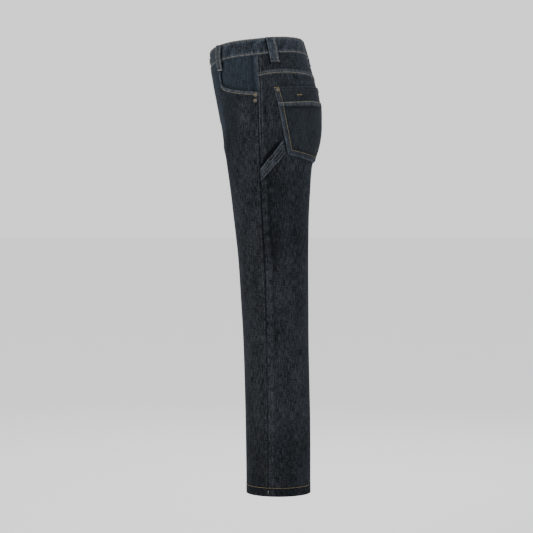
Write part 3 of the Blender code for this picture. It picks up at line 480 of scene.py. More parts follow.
DENIM = denim_group()


def principled(name):
    material = bpy.data.materials.new(name)
    material.use_nodes = True
    return material, material.node_tree, material.node_tree.nodes["Principled BSDF"]


def denim(name, dark, light, pale, contrast):
    material, tree, shader = principled(name)
    group = add_node(tree, "ShaderNodeGroup", node_tree=DENIM)
    set_inputs(group, {"Dark": (*dark, 1), "Light": (*light, 1), "Pale": pale, "Contrast": contrast})
    weave = add_node(tree, "ShaderNodeBump")
    set_inputs(weave, {"Strength": 0.7, "Distance": 0.0003})
    tree.links.new(group.outputs["Color"], shader.inputs["Base Color"])
    tree.links.new(group.outputs["Height"], weave.inputs["Height"])
    tree.links.new(weave.outputs[0], shader.inputs["Normal"])
    set_inputs(shader, {"Roughness": 0.92, "Specular IOR Level": 0.06, "Sheen Weight": 0.02,
                        "Sheen Tint": (0.55, 0.68, 0.9, 1), "Sheen Roughness": 0.6})
    return material


def patina_group():
    tree, inputs, outputs = new_group("aged metal", (("Bright", "Color"), ("Dull", "Color")),
                                      (("Color", "Color"), ("Roughness", "Float")))
    spots = noise(tree, add_node(tree, "ShaderNodeTexCoord").outputs["Object"], 900.0, 3.0)
    colour = mix_colours(tree, spots, inputs.outputs["Bright"], inputs.outputs["Dull"])
    tree.links.new(colour, outputs.inputs["Color"])
    tree.links.new(maths(tree, "MULTIPLY_ADD", spots, 0.4, 0.5), outputs.inputs["Roughness"])
    return tree


PATINA = patina_group()


def aged_metal(name, bright, dull):
    material, tree, shader = principled(name)
    group = add_node(tree, "ShaderNodeGroup", node_tree=PATINA)
    set_inputs(group, {"Bright": (*bright, 1), "Dull": (*dull, 1)})
    tree.links.new(group.outputs["Color"], shader.inputs["Base Color"])
    tree.links.new(group.outputs["Roughness"], shader.inputs["Roughness"])
    shader.inputs["Metallic"].default_value = 1.0
    return material


def thread(name, colour):
    material, tree, shader = principled(name)
    spots = noise(tree, add_node(tree, "ShaderNodeTexCoord").outputs["Object"], 160.0)
    dark, light = ((*[part * share for part in colour], 1) for share in (0.6, 1.4))
    tree.links.new(mix_colours(tree, spots, dark, light), shader.inputs["Base Color"])
    shader.inputs["Roughness"].default_value = 0.7
    return material


DENIM_DARK, DENIM_LIGHT = (0.0030, 0.0036, 0.0044), (0.115, 0.124, 0.138)
outer_denim = denim("worn denim", DENIM_DARK, DENIM_LIGHT, 0.085, 0.30)
band_denim = denim("worn band denim", DENIM_DARK, DENIM_LIGHT, 0.14, 0.40)
pocket_denim = denim("worn pocket denim", DENIM_DARK, DENIM_LIGHT, 0.085, 0.16)
facing_denim = denim("facing denim", (0.0034, 0.0050, 0.0068), (0.105, 0.125, 0.150), 0.11, 0.20)
reverse_denim = denim("denim reverse", (0.045, 0.052, 0.062), (0.34, 0.36, 0.38), 0.30, 0.35)
gold_thread = thread("gold thread", (0.27, 0.215, 0.105))
tonal_thread = thread("grey thread", (0.030, 0.033, 0.038))
pale_thread = thread("pale tack thread", (0.145, 0.150, 0.152))
brass = aged_metal("aged brass", (0.21, 0.18, 0.14), (0.036, 0.031, 0.026))
steel = aged_metal("dark metal", (0.34, 0.32, 0.29), (0.14, 0.13, 0.12))
print("materials", len(bpy.data.materials))


# %% [markdown]
# A cloth piece starts as a grid primitive. Its points are laid on the garment's surface with its own lifts,
# then Solidify gives it the cloth's thickness, with the paler reverse inside.


def deselect():
    if bpy.context.object and bpy.context.object.mode != "OBJECT":
        bpy.ops.object.mode_set(mode="OBJECT")
    bpy.ops.object.select_all(action="DESELECT")


def select_only(pieces):
    """Leave only these selected, the first of them active."""
    deselect()
    for piece in pieces:
        piece.select_set(True)
    bpy.context.view_layer.objects.active = pieces[0]


def apply_all(piece):
    select_only([piece])
    for name in [modifier.name for modifier in piece.modifiers]:
        bpy.ops.object.modifier_apply(modifier=name)


def grid_mesh(name, points):
    """A grid primitive with its points moved onto the given rows and columns."""
    rows, cols = points.shape[:2]
    deselect()
    bpy.ops.mesh.primitive_grid_add(x_subdivisions=cols - 1, y_subdivisions=rows - 1, size=1)
    piece = bpy.context.object
    piece.name = piece.data.name = name
    piece.data.vertices.foreach_set("co", points.reshape(-1).astype(np.float32))
    piece.data.update()
    return piece


def attribute(piece, name, values):
    made = piece.data.attributes.new(name, "FLOAT", "POINT")
    made.data.foreach_set("value", np.asarray(values, np.float32).ravel())


def map_in_metres(piece, u, v):
    layer = piece.data.uv_layers[0]
    layer.name = "UVMap"
    corners = np.zeros(len(piece.data.loops), int)
    piece.data.loops.foreach_get("vertex_index", corners)
    mapped = np.stack((u.ravel()[corners], v.ravel()[corners]), axis=1)
    layer.data.foreach_set("uv", mapped.astype(np.float32).ravel())


def cloth(name, points, u, v, wear_and_shade, blue, thickness, face, side=LEFT, rounded=0.0):
    """A cloth piece from a grid of points in metres whose columns run to the back and rows run up."""
    u, v, wear_and_shade, blue = (np.broadcast_to(values, points.shape[:2]) for values in (u, v, wear_and_shade, blue))
    if side == RIGHT:
        points, u, v = points[:, ::-1], u[:, ::-1] + 3000, v[:, ::-1]
        wear_and_shade, blue = wear_and_shade[:, ::-1], blue[:, ::-1]
    piece = grid_mesh(name, points)
    map_in_metres(piece, u * MM, v * MM)
    attribute(piece, "wear_and_shade", wear_and_shade)
    attribute(piece, "blue", blue)
    piece.data.materials.append(face)
    piece.data.materials.append(reverse_denim)
    solid = piece.modifiers.new("cloth", "SOLIDIFY")
    solid.thickness, solid.offset, solid.material_offset = thickness * MM, -1, 1
    if rounded:
        edge = piece.modifiers.new("rounded edge", "BEVEL")
        edge.width, edge.segments = rounded * MM, 2
        edge.limit_method, edge.angle_limit = "ANGLE", math.radians(60)
    apply_all(piece)
    bpy.ops.object.shade_smooth_by_angle(angle=math.radians(40))
    return piece


def belongs(piece, node):
    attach(piece, "root")
    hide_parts(node)


# %% [markdown]
# The mouth of the front pocket, and how far any point of the front lies from its edge.

# %% Pocket mouth
def along_points(rows, steps):
    rows = np.array(rows, float)
    along = run_lengths(rows)
    at = np.linspace(0, along[-1], steps)
    return np.stack((smooth(at, along, rows[:, 0]), smooth(at, along, rows[:, 1])), axis=1)


MOUTH_EDGE = along_points(MOUTH, 120)


def mouth_distance(arc, height):
    """Millimetres from the mouth's edge, plus inside the mouth and minus on the panel."""
    gap = np.hypot(arc[..., None] - MOUTH_EDGE[:, 0], height[..., None] - MOUTH_EDGE[:, 1])
    nearest = np.argmin(gap, axis=-1)
    before = MOUTH_EDGE[np.maximum(nearest - 1, 0)]
    after = MOUTH_EDGE[np.minimum(nearest + 1, len(MOUTH_EDGE) - 1)]
    run = after - before
    out = np.stack((arc, height), axis=-1) - MOUTH_EDGE[nearest]
    inside = run[..., 0] * out[..., 1] - run[..., 1] * out[..., 0] > 0
    return np.where(inside, 1, -1) * np.min(gap, axis=-1)


# %% [markdown]
# How high the seams stand, where the cloth is pale with wear, where it is darkened as painted shade, and where
# it is cooler in colour.

# %% Seam ridges, wear and painted shade of the panels
def ridge_lift(distance, width, rise):
    """A felled ridge from 0 to its width, with a soft foot and a groove along each of its two rows."""
    body = ease((distance + 0.6) / 0.9) * ease((width + RIDGE_FOOT - distance) / RIDGE_FOOT)
    sunk = 0.18 * bump(distance - 0.2 * width, 0.9) + 0.18 * bump(distance - 0.82 * width, 0.9)
    return body * (rise - sunk)


def yoke_edge(arc, height):
    return table(YOKE_EDGE, np.clip(arc / back_length(height), 0, 1))


def panel_lift(arc, height, side, part):
    lift = relief(arc, height, side)
    hem = ease((HEM_FOLD + 0.8 - height) / 1.6)
    lift = lift + hem * (0.25 + 0.30 * ripple(arc + 0.8 * height, 3 + side, 15.0))
    lift = lift - 0.12 * bump(height - HEM_ROW, 1.6)
    if part == "front":
        from_centre = front_length(height) + arc
        if side == LEFT:
            reach = ease(1 - (from_centre - FLY_WIDTH + 3) / 3) * ease((height - FLY_BOTTOM) / 14)
            lift = lift + FLY_RISE * reach
        outside = -mouth_distance(arc, height)
        fold = ease((outside + 3) / 3) * ease((MOUTH_FOLD + 1.2 - outside) / 1.8) * (height > MOUTH_LOW)
        lift = lift + fold * (0.45 + 0.18 * ripple(arc + height, 5 + side, 9.0))
        seam = bump(arc, 1.6) * (height < SIDE_SEAM_TOP)
        return lift - 0.35 * seam
    yoke = yoke_edge(arc, height)
    above = height > yoke
    side_ridge = ridge_lift(arc, RIDGE_WIDTH, RIDGE_RISE) * ease((height - SIDE_RIDGE_END) / SIDE_RIDGE_FADE)
    rough = 0.16 * ripple(height, 7 + side, 10.0) * ease((14 - arc) / 5)
    yoke_ridge = ridge_lift(height - yoke, RIDGE_WIDTH, RIDGE_RISE) * above
    rough = rough + 0.14 * ripple(arc, 9 + side, 11.0) * above * ease((RIDGE_WIDTH + 6 - height + yoke) / 5)
    lift = lift + np.maximum(side_ridge, yoke_ridge) + rough
    if side == LEFT:
        lift = lift - 0.9 * strap_shade(arc, height)
    seam = bump(arc, 1.4) * (height < SIDE_RIDGE_END)
    inner = back_length(height) - arc
    lift = lift + 0.35 * ridge_lift(inner, 9.0, 1.0) * ease((CROTCH_HEIGHT - height) / 8)
    lift = lift + 0.35 * ridge_lift(inner - 0.6, 9.0, 1.0) * ease((height - CROTCH_HEIGHT - 12) / 20)
    return lift - 0.3 * seam


def loop_side_shade(arc, height, part):
    """1 in the narrow strip at either side of a belt loop that is painted darker as shade, 0 elsewhere."""
    top_arc, foot_arc = FRONT_LOOP_ARCS if part == "front" else SIDE_LOOP_ARCS
    middle = foot_arc + (top_arc - foot_arc) * np.clip((height - LOOP_LOW) / LOOP_TALL, 0, 1)
    return bump(np.abs(arc - middle) - LOOP_WIDTH / 2 - 1.0, 1.4) * (height > LOOP_LOW)


def strap_shade(arc, height):
    """1 where the panel is sunk along the upper edge of the hammer loop and painted darker there as shade."""
    (low_arc, low_height), (high_arc, high_height) = STRAP_LOWER[1], STRAP_UPPER[1]
    run = np.array((high_arc - low_arc, high_height - low_height))
    length = math.hypot(*run)
    run = run / length
    along = (arc - low_arc) * run[0] + (height - low_height) * run[1]
    above = (height - low_height) * run[0] - (arc - low_arc) * run[1]
    between_ends = ease(along / 10) * ease((length + 6 - along) / 30)
    return ease((above + 4) / 4) * ease((13 - above) / 11) * between_ends


def panel_wear_and_shade(arc, height, side, part):
    # Paler on the crease crests and darker in the troughs.
    wear_and_shade = 0.05 * relief(arc, height, side)
    hem = ease((HEM_FOLD - height) / 2) * 0.04 * ripple(arc + 0.8 * height, 3 + side, 15.0)
    wear_and_shade = wear_and_shade + 0.12 * bump(height, 1.8) + hem
    # Darker towards the hem.
    wear_and_shade = wear_and_shade - 0.035 * ease((175 - height) / 70) - 0.03 * ease((26 - height) / 5)
    if part == "front":
        outside = -mouth_distance(arc, height)
        near = (height > MOUTH_LOW) * ease((outside + 3) / 3) * ease((MOUTH_FOLD + 0.8 - outside) / 1.5)
        wear_and_shade = wear_and_shade + near * (0.20 + 0.08 * ripple(arc + height, 5 + side, 6.0))
        wear_and_shade = wear_and_shade + 0.07 * bump(arc + 3.4, 2.0) * (0.5 + 0.5 * ripple(height, 2, 16.0)) * (height < 945)
        # The side seam line is painted darker as shade.
        seam = bump(arc + 0.4, 1.5) * (height < SIDE_SEAM_TOP)
        wear_and_shade = wear_and_shade - (0.04 + 0.10 * ease((height - 250) / 300)) * seam
        # Darker in a broad band over the front hip.
        wear_and_shade = wear_and_shade - 0.085 * bump(arc + 103, 24) * ease((height - 700) / 130) * ease((985 - height) / 110)
        from_centre = front_length(height) + arc
        return wear_and_shade + 0.08 * bump(from_centre - 1.5, 2.0) * (height > FLY_BOTTOM)
    yoke = yoke_edge(arc, height)
    over = ease((height - SIDE_RIDGE_END) / SIDE_RIDGE_FADE)
    edges = bump(arc - 1.7, 1.2) * 0.30 + bump(arc - 8.3, 1.2) * 0.14 - bump(arc - 5.0, 1.6) * 0.07
    wear_and_shade = wear_and_shade + over * edges * (0.75 + 0.5 * ripple(height, 4 + side, 12.0))
    tracks = bump(arc - 4.5, 2.2) * 0.07 + bump(arc - 11.5, 3.0) * 0.07
    wear_and_shade = wear_and_shade + (1 - over) * tracks * (0.7 + 0.9 * ripple(height, 6 + side, 26.0))
    low_fade = 0.35 + 0.65 * ease((height - 250) / 300)
    # The seam line is painted darker as shade; a broad band behind it is darker too.
    wear_and_shade = wear_and_shade - (1 - over) * low_fade * (0.10 * bump(arc - 0.4, 1.2) + 0.03 * bump(arc - 19, 4.0))
    # Darker over the thigh, more so near the side seam.
    thigh = ease((790 - height) / 60) * ease((height - 520) / 90)
    wear_and_shade = wear_and_shade - thigh * (0.025 + 0.03 * ease((64 - arc) / 30))
    # Painted shade beside the belt loops.
    wear_and_shade = wear_and_shade - 0.16 * loop_side_shade(arc, height, part)
    # Painted shade above the hammer loop's upper edge.
    if side == LEFT:
        wear_and_shade = wear_and_shade - 0.18 * strap_shade(arc, height)
    rise = height - yoke
    ridge = (rise > -0.5) * ease((RIDGE_WIDTH + 1 - rise) / 2)
    wear_and_shade = wear_and_shade + ridge * (0.17 + 0.07 * ripple(arc, 8 + side, 8.0)) * ease((arc - 1) / 3 + 0.6)
    inner = back_length(height) - arc
    return wear_and_shade + 0.08 * bump(inner - 1.5, 2.0) * (0.7 + 0.6 * ripple(height, 1, 14.0))


def panel_blue(arc, height, part):
    share = np.clip(np.abs(arc) / half_length(part, height), 0, 1)
    hip = ease((height - 560) / 260)
    if part == "front":
        return (0.2 + 0.8 * ease((share - 0.2) / 0.5)) * (0.35 + 0.65 * hip)
    return 0.18 + 0.35 * hip * ease((share - 0.1) / 0.5)


# %% [markdown]
# Front and back panels: rows close together at the hem, the crotch and the hip, and columns close together
# beside the seams.

# %% Panels and yokes
UPPER_START = 868.0
leg_rows = np.concatenate((np.arange(0, 26, 1.8), np.arange(27, 780, 5.0), np.arange(780, 830, 2.0),
                           np.arange(830, UPPER_START, 2.8)))


def panel(name, side, part, shares, heights):
    """A panel from shares of the half's length, one row for each row of heights."""
    share = np.broadcast_to(shares, heights.shape)
    arc = SEAM_GAP / 2 + share * (half_length(part, heights) - SEAM_GAP)
    arc = -arc if part == "front" else arc
    points = place(arc, heights, panel_lift(arc, heights, side, part), side)
    middle = SEAM_GAP / 2 * MM
    points[..., 0] = np.where(points[..., 0] * side < middle, middle * side, points[..., 0])
    return cloth(f"{name}_cloth", points, arc, heights, panel_wear_and_shade(arc, heights, side, part),
                 panel_blue(arc, heights, part), CLOTH, outer_denim, side)


def rows_to(edge, steps):
    """Leg rows, then rows that climb from the hip to an edge line."""
    level = np.repeat(leg_rows[:, None], edge.size, axis=1)
    climb = np.linspace(0, 1, steps)[:, None]
    return np.concatenate((level, UPPER_START + (edge - UPPER_START) * climb))


front_shares = np.concatenate((np.linspace(1, 0.04, 78), np.linspace(0.033, 0, 5)))
front_heights = rows_to(table(BAND_EDGE_FRONT, front_shares) - SEAM_GAP / 2, 64)
ridge_shares = np.concatenate((np.linspace(0, 0.045, 11), np.linspace(0.055, 0.955, 76),
                               np.linspace(0.965, 1, 7)))
back_heights = rows_to(table(YOKE_EDGE, ridge_shares) - SEAM_GAP / 2, 46)
yoke_low = table(YOKE_EDGE, ridge_shares) + SEAM_GAP / 2
yoke_high = table(BAND_EDGE_BACK, ridge_shares) - SEAM_GAP / 2
yoke_steps = np.concatenate((np.linspace(0, 0.2, 9), np.linspace(0.24, 1, 17)))[:, None]
yoke_heights = yoke_low + (yoke_high - yoke_low) * yoke_steps

PANELS = {}
for side_name, side in SIDES:
    for piece, part, across, heights in (("front", "front", front_shares, front_heights),
                                         ("back", "back", ridge_shares, back_heights),
                                         ("yoke", "back", ridge_shares, yoke_heights)):
        name = f"{piece}_{side_name}"
        PANELS[name] = panel(name, side, part, across, heights)
for node, piece in PANELS.items():
    belongs(piece, node)
print("panels", {name: len(piece.data.polygons) for name, piece in PANELS.items()})


# %% [markdown]
# The scoop of each front pocket is cut with a block that follows the cloth.

# %% Cut the pocket mouths
def cut_mouth(side_name, side):
    steps, layers = 90, 8
    edge = along_points(MOUTH, steps + 1)
    far = np.linspace(edge[0, 0] + 2, MOUTH_FAR_ARC, steps + 1)
    share = np.linspace(0, 1, layers + 1)[:, None]
    arc = edge[:, 0] + (far - edge[:, 0]) * share
    height = edge[:, 1] + (MOUTH_FAR_HEIGHT - edge[:, 1]) * share
    points = place(arc, height, 6.0, side)
    cutter = grid_mesh("mouth cutter", points[:, ::-1] if side == RIGHT else points)
    block = cutter.modifiers.new("block", "SOLIDIFY")
    block.thickness, block.offset = 12 * MM, -1
    apply_all(cutter)
    panel_piece = PANELS[f"front_{side_name}"]
    cut = panel_piece.modifiers.new("mouth", "BOOLEAN")
    cut.operation, cut.solver, cut.object = "DIFFERENCE", "EXACT", cutter
    apply_all(panel_piece)
    bpy.data.objects.remove(cutter, do_unlink=True)
    print(side_name, "front after the cut", len(panel_piece.data.polygons))


for side_name, side in SIDES:
    cut_mouth(side_name, side)


# %% [markdown]
# Pieces laid on or under the panels: facings, fly shield, rear pockets with their second layer, hammer loop.

# %% Laid pieces
def along_line(rows, share):
    """Points of an outline at shares of its named points, straight between them."""
    rows = np.array(rows, float)
    at = np.asarray(share, float) * (len(rows) - 1)
    keys = np.arange(len(rows))
    return np.interp(at, keys, rows[:, 0]), np.interp(at, keys, rows[:, 1])


def shares(cols, rows):
    across, along = np.meshgrid(np.linspace(0, 1, cols + 1), np.linspace(0, 1, rows + 1))
    return across, along


def facing(side_name, side):
    across, along = shares(62, 44)
    arc = FACING_FRONT_ARC * (1 - across) - SEAM_GAP / 2 * across
    bottom = along_line(FACING_BOTTOM, across)[1]
    top = table(BAND_EDGE_FRONT, -arc / front_length(FACING_LEVEL)) - SEAM_GAP / 2
    height = bottom + (top - bottom) * along
    inside = np.maximum(mouth_distance(arc, height), 0)
    lift = 0.25 * relief(arc, height, side) - FACING_DEPTH * (1 - ease((inside - 2) / FACING_BLEND))
    wear_and_shade = 0.10 * bump(arc + 1.5, 1.6) - 0.06 * bump(arc + 12, 4.0) + 0.03 * ripple(arc, side + 2, 9.0)
    # Painted shade where the facing lies under the mouth's edge.
    wear_and_shade = wear_and_shade - 0.05 * ease((12 - inside) / 12)
    return cloth(f"pocket_facing_{side_name}_cloth", place(arc, height, lift, side), arc, height, wear_and_shade,
                 0.28, CLOTH, facing_denim, side)


def fly_shield():
    across, along = shares(24, 60)
    offset = SHIELD_OVER - (SHIELD_OVER + SHIELD_UNDER) * across
    top = table(BAND_EDGE_FRONT, 0.97) - SEAM_GAP
    height = SHIELD_BOTTOM + (top - SHIELD_BOTTOM) * along
    arc = -(front_length(height) - np.abs(offset))
    side = np.where(offset < 0, -1, 1)
    points = place(arc, height, -SHIELD_DEPTH, side)[:, ::-1]
    return cloth("fly_shield_cloth", points, offset[:, ::-1], height, 0, 0.3, SHIELD_CLOTH, outer_denim)


def pocket_point(across, along):
    """Arc and height on the rear pocket; along runs from its lowest edge to its mouth."""
    low, mid, high = (along_line(rows, across) for rows in (POCKET_BOTTOM, PATCH_TOP, POCKET_TOP))
    lower = np.clip(along / PATCH_SHARE, 0, 1)
    upper = np.clip((along - PATCH_SHARE) / (1 - PATCH_SHARE), 0, 1)
    return tuple(low[k] + (mid[k] - low[k]) * lower + (high[k] - mid[k]) * upper for k in range(2))


def pocket_gape(across, along):
    return POCKET_GAPE * np.sin(math.pi * np.clip(across, 0, 1))**0.6 * np.maximum(along - 0.55, 0) / 0.45


def pocket_edge(across, along):
    """Millimetres from the pocket's sewn edges and from its mouth."""
    sewn = np.minimum(np.minimum(across, 1 - across) * POCKET_WIDE, along * POCKET_TALL)
    return sewn, (1 - along) * POCKET_TALL


def pocket_round(across, along):
    """A measure in millimetres that grows along every edge, for the ripples of the folds."""
    return (across - 0.5) * POCKET_WIDE + (along - 0.5) * POCKET_TALL


def pocket_lift(across, along, side):
    arc, height = pocket_point(across, along)
    sewn, mouth = pocket_edge(across, along)
    around = pocket_round(across, along)
    fold = 0.40 * ease((11.5 - sewn) / 1.5) * (1 + 0.5 * ripple(around, 2 + side, 10.0))
    hem = 0.30 * ease((13 - mouth) / 1.5) * (1 + 0.5 * ripple(around, 4 + side, 12.0))
    stitches = 0.22 * bump(sewn - POCKET_INSET, 0.9)
    belly = 0.5 * np.sin(math.pi * across) * np.sin(math.pi * np.clip(along, 0, 1))
    return LAY_GAP + pocket_gape(across, along) + np.maximum(fold, hem) - stitches + belly


def pocket_wear_and_shade(across, along, side):
    sewn, mouth = pocket_edge(across, along)
    around = pocket_round(across, along)
    fold = ease((11.0 - sewn) / 1.5) * (0.045 + 0.05 * ripple(around, 3 + side, 8.0))
    edge = 0.20 * bump(sewn - 0.6, 1.6) + 0.06 * bump(mouth - 0.5, 1.4)
    # Painted shade just inside the folded edge.
    inner_fold_shade = -0.04 * bump(sewn - 14.5, 2.5)
    return fold + edge + inner_fold_shade


def back_pocket(side_name, side):
    across, along = shares(80, 78)
    arc, height = pocket_point(across, along)
    lift = pocket_lift(across, along, side)
    points = place(arc, height, lift + POCKET_CLOTH, side)
    return cloth(f"back_pocket_{side_name}_cloth", points, arc + 400, height,
                 pocket_wear_and_shade(across, along, side), 0.32, POCKET_CLOTH, pocket_denim, side)


def pocket_patch(side_name, side):
    across, along = shares(80, 56)
    whole = along * PATCH_SHARE
    arc, height = pocket_point(across, whole)
    top = (1 - along) * PATCH_SHARE * POCKET_TALL
    ridge = 0.35 * ease((9.0 - top) / 1.5) * (1 + 0.4 * ripple(arc, 5 + side, 9.0))
    lift = pocket_lift(across, whole, side) + 2 * POCKET_CLOTH + SEAM_GAP + ridge
    wear_and_shade = pocket_wear_and_shade(across, whole, side)
    wear_and_shade = wear_and_shade + ease((9.0 - top) / 2) * (0.15 + 0.05 * ripple(arc, 6 + side, 7.0))
    # Painted shadow under the folded top edge of the patch.
    wear_and_shade = wear_and_shade - 0.05 * bump(top - 12, 3)
    points = place(arc, height, lift, side)
    return cloth(f"pocket_patch_{side_name}_cloth", points, arc + 900, height, wear_and_shade,
                 0.36, POCKET_CLOTH, pocket_denim, side)


def between(first, second, share):
    return [low + (high - low) * share for low, high in zip(first, second)]


def strap_point(across, along):
    return between(between(*STRAP_LOWER, across), between(*STRAP_UPPER, across), along)


def strap_lift(along):
    return LAY_GAP + STRAP_STAND * np.sin(math.pi * along)**1.3


def hammer_loop():
    across, along = shares(24, 70)
    across = 1 - across
    arc, height = strap_point(across, along)
    width = across * STRAP_WIDTH
    grooves = sum(bump(width - at * STRAP_WIDTH, 0.8) for at in STRAP_LINES)
    lift = strap_lift(along) + STRAP_CLOTH - 0.25 * grooves + 0.1 * ripple(along * 80, 3, 9.0)
    # Pale worn edges; the stitch grooves are painted darker as shade.
    wear_and_shade = 0.19 * bump(width - STRAP_WIDTH, 1.7) + 0.17 * bump(width, 1.7) - 0.04 * grooves
    for at, pale, spread in ((0.24, 0.10, 1.3), (0.5, 0.05, 1.5), (0.78, 0.10, 1.3)):
        wear_and_shade = wear_and_shade + pale * bump(width - at * STRAP_WIDTH, spread)
    wear_and_shade = wear_and_shade * (0.8 + 0.5 * ripple(along * 90 + across * 9, 5, 13.0))
    return cloth("hammer_loop_cloth", place(arc, height, lift, LEFT), STRAP_WIDTH - width + 1400,
                 along * STRAP_LENGTH, wear_and_shade, 0.4, STRAP_CLOTH, band_denim, LEFT, 0.4)


for side_name, side in SIDES:
    belongs(facing(side_name, side), f"pocket_facing_{side_name}")
    belongs(back_pocket(side_name, side), f"back_pocket_{side_name}")
    belongs(pocket_patch(side_name, side), f"pocket_patch_{side_name}")
belongs(fly_shield(), "fly_shield")
belongs(hammer_loop(), "hammer_loop")


# %% [markdown]
# Waistband and belt loops. The band is one strip whose left end laps over its right end.

# %% Waistband
BAND_HALF = float(front_length(BAND_LEVEL) + back_length(BAND_LEVEL))


def round_band(station):
    """The half that a station lies on, and its tape measure from that half's side seam."""
    turn = station % (2 * BAND_HALF)
    left = turn <= BAND_HALF
    return np.where(left, LEFT, RIGHT), np.where(left, turn, 2 * BAND_HALF - turn) - front_length(BAND_LEVEL)


def band_place(station, up, lift):
    """Points of the band by tape measure from the centre front round by the left side; up is a share."""
    station, up, lift = np.broadcast_arrays(np.asarray(station, float), up, lift)
    side, from_seam = round_band(station)
    front = from_seam < 0
    reach = np.where(front, front_length(BAND_LEVEL), back_length(BAND_LEVEL))
    share = np.clip(np.abs(from_seam) / reach, 0, 1)
    low = np.where(front, table(BAND_EDGE_FRONT, share), table(BAND_EDGE_BACK, share)) + SEAM_GAP / 2
    high = np.where(front, table(BAND_TOP_FRONT, share), table(BAND_TOP_BACK, share))
    height = low + (high - low) * up
    arc = np.where(front, -share * front_length(height), share * back_length(height))
    return place(arc, height, lift, side)


STEP_END = 2 * BAND_HALF - BAND_LEFT_END - 3


def band_lift(station, up):
    step_in = BAND_LAP_STEP * ease((station - STEP_END + BAND_STEP_LENGTH) / BAND_STEP_LENGTH)
    from_edge = np.minimum(up, 1 - up) * BAND_TALL
    full = 0.25 * ease((9 - from_edge) / 3) * (1 + 0.8 * ripple(station + 12 * up, 4, 11.0))
    groove = 0.15 * bump(from_edge - 3.0, 0.8)
    waves = 0.22 * ripple(station + 20 * up, 2, 37.0)
    return BAND_PROUD - step_in + full - groove + waves - 0.25


stations = np.concatenate((np.linspace(-BAND_LEFT_END, 4, 5), np.linspace(7, STEP_END - 4, 330),
                           np.linspace(STEP_END, 2 * BAND_HALF + BAND_RIGHT_END, 26)))
band_up = np.concatenate((np.linspace(0, 0.12, 5), np.linspace(0.17, 0.83, 12), np.linspace(0.88, 1, 5)))
station, up = np.meshgrid(stations, band_up)
edge_distance = np.minimum(up, 1 - up) * BAND_TALL
band_wear_and_shade = (0.12 * ease((10 - edge_distance) / 4) * (1 + 1.1 * ripple(station + 30 * up, 3, 13.0))
             + 0.06 * ripple(station - 26 * up, 6, 44.0) + 0.18 * bump((1 - up) * BAND_TALL, 1.6)
             + 0.08 * bump(up * BAND_TALL, 1.2))
band_arc = round_band(station)[1]
# Painted shade beside the belt loops.
for part in ("front", "back"):
    band_wear_and_shade = band_wear_and_shade - 0.24 * loop_side_shade(band_arc, LOOP_LEVEL + 38 * up, part)
waistband = cloth("waistband_cloth", band_place(station, up, band_lift(station, up)), station + 2000,
                  up * BAND_TALL, band_wear_and_shade, 0.42, BAND_CLOTH, band_denim, LEFT, 0.7)
belongs(waistband, "waistband")


# %% Belt loops
def loop_stand(along, stand=LOOP_STAND):
    over_band = ease((along - 0.06) / 0.22)
    bow = np.sin(math.pi * np.clip((along - 0.1) / 0.9, 0, 1))
    return LAY_GAP + LOOP_TACK + over_band * BAND_PROUD + stand * bow


def loop_point(part, arcs, across, along):
    top_arc, foot_arc = arcs
    centre = foot_arc + (top_arc - foot_arc) * along
    arc = centre + LOOP_WIDTH * (across - 0.5)
    share = np.abs(centre) / half_length(part, LOOP_LEVEL)
    edge = table(BAND_EDGE_FRONT if part == "front" else BAND_EDGE_BACK, share)
    top = table(BAND_TOP_FRONT if part == "front" else BAND_TOP_BACK, share)
    return arc, edge - LOOP_FOOT + (top - LOOP_TOP_IN - edge + LOOP_FOOT) * along


def loop_looks(across, along, seed):
    edge = np.minimum(across, 1 - across) * LOOP_WIDTH
    lift = LOOP_CLOTH + 0.22 * ease((6 - edge) / 1.5) - 0.22 * bump(edge - 3.4, 0.8)
    # Pale worn edges; the stitch groove is painted darker as shade.
    wear_and_shade = 0.05 + 0.26 * bump(edge - 0.8, 1.5) + 0.13 * bump(edge - 5.8, 1.4) - 0.07 * bump(edge - 3.4, 1.0)
    return lift, wear_and_shade * (0.8 + 0.6 * ripple(along * 62, seed, 11.0)) + 0.05 * bump((1 - along) * 60, 2.5)


def belt_loop(name, part, arcs, side):
    across, along = shares(20, 44)
    arc, height = loop_point(part, arcs, across, along)
    lift, wear_and_shade = loop_looks(across, along, 3 + side)
    points = place(arc, height, loop_stand(along) + lift, side)
    return cloth(f"{name}_cloth", points, across * LOOP_WIDTH + 1500, height, wear_and_shade,
                 0.4, LOOP_CLOTH, band_denim, side, 0.35)


def centre_point(across, along):
    low, high = table(BAND_EDGE_BACK, 1) - LOOP_FOOT, table(BAND_TOP_BACK, 1) - LOOP_TOP_IN
    height = low + (high - low) * along
    offset = LOOP_WIDTH * (across - 0.5)
    return back_length(height) - np.abs(offset), height, np.where(offset > 0, RIGHT, LEFT)


def centre_loop():
    across, along = shares(20, 44)
    arc, height, side = centre_point(across, along)
    lift, wear_and_shade = loop_looks(across, along, 7)
    points = place(arc, height, loop_stand(along, CENTRE_LOOP_STAND) - CENTRE_LOOP_PRESS + lift, side)
    return cloth("belt_loop_back_cloth", points, across * LOOP_WIDTH + 1600, height, 0.35 * wear_and_shade,
                 0.4, LOOP_CLOTH, band_denim, LEFT, 0.35)


for side_name, side in SIDES:
    for part, arcs, name in (("front", FRONT_LOOP_ARCS, "front"), ("back", SIDE_LOOP_ARCS, "side")):
        node = f"belt_loop_{name}_{side_name}"
        belongs(belt_loop(node, part, arcs, side), node)
belongs(centre_loop(), "belt_loop_back")


# %% [markdown]
# Sewing. One stitch is modelled once; Array repeats it at its pitch and Curve lays the row along its seam.

# %% Stitch rows
ROWS = {"gold": [], "tonal": [], "tack": []}
THREADS = {"gold": gold_thread, "tonal": tonal_thread, "tack": pale_thread}
PITCH, TACK_STEPS = 3.3, 12


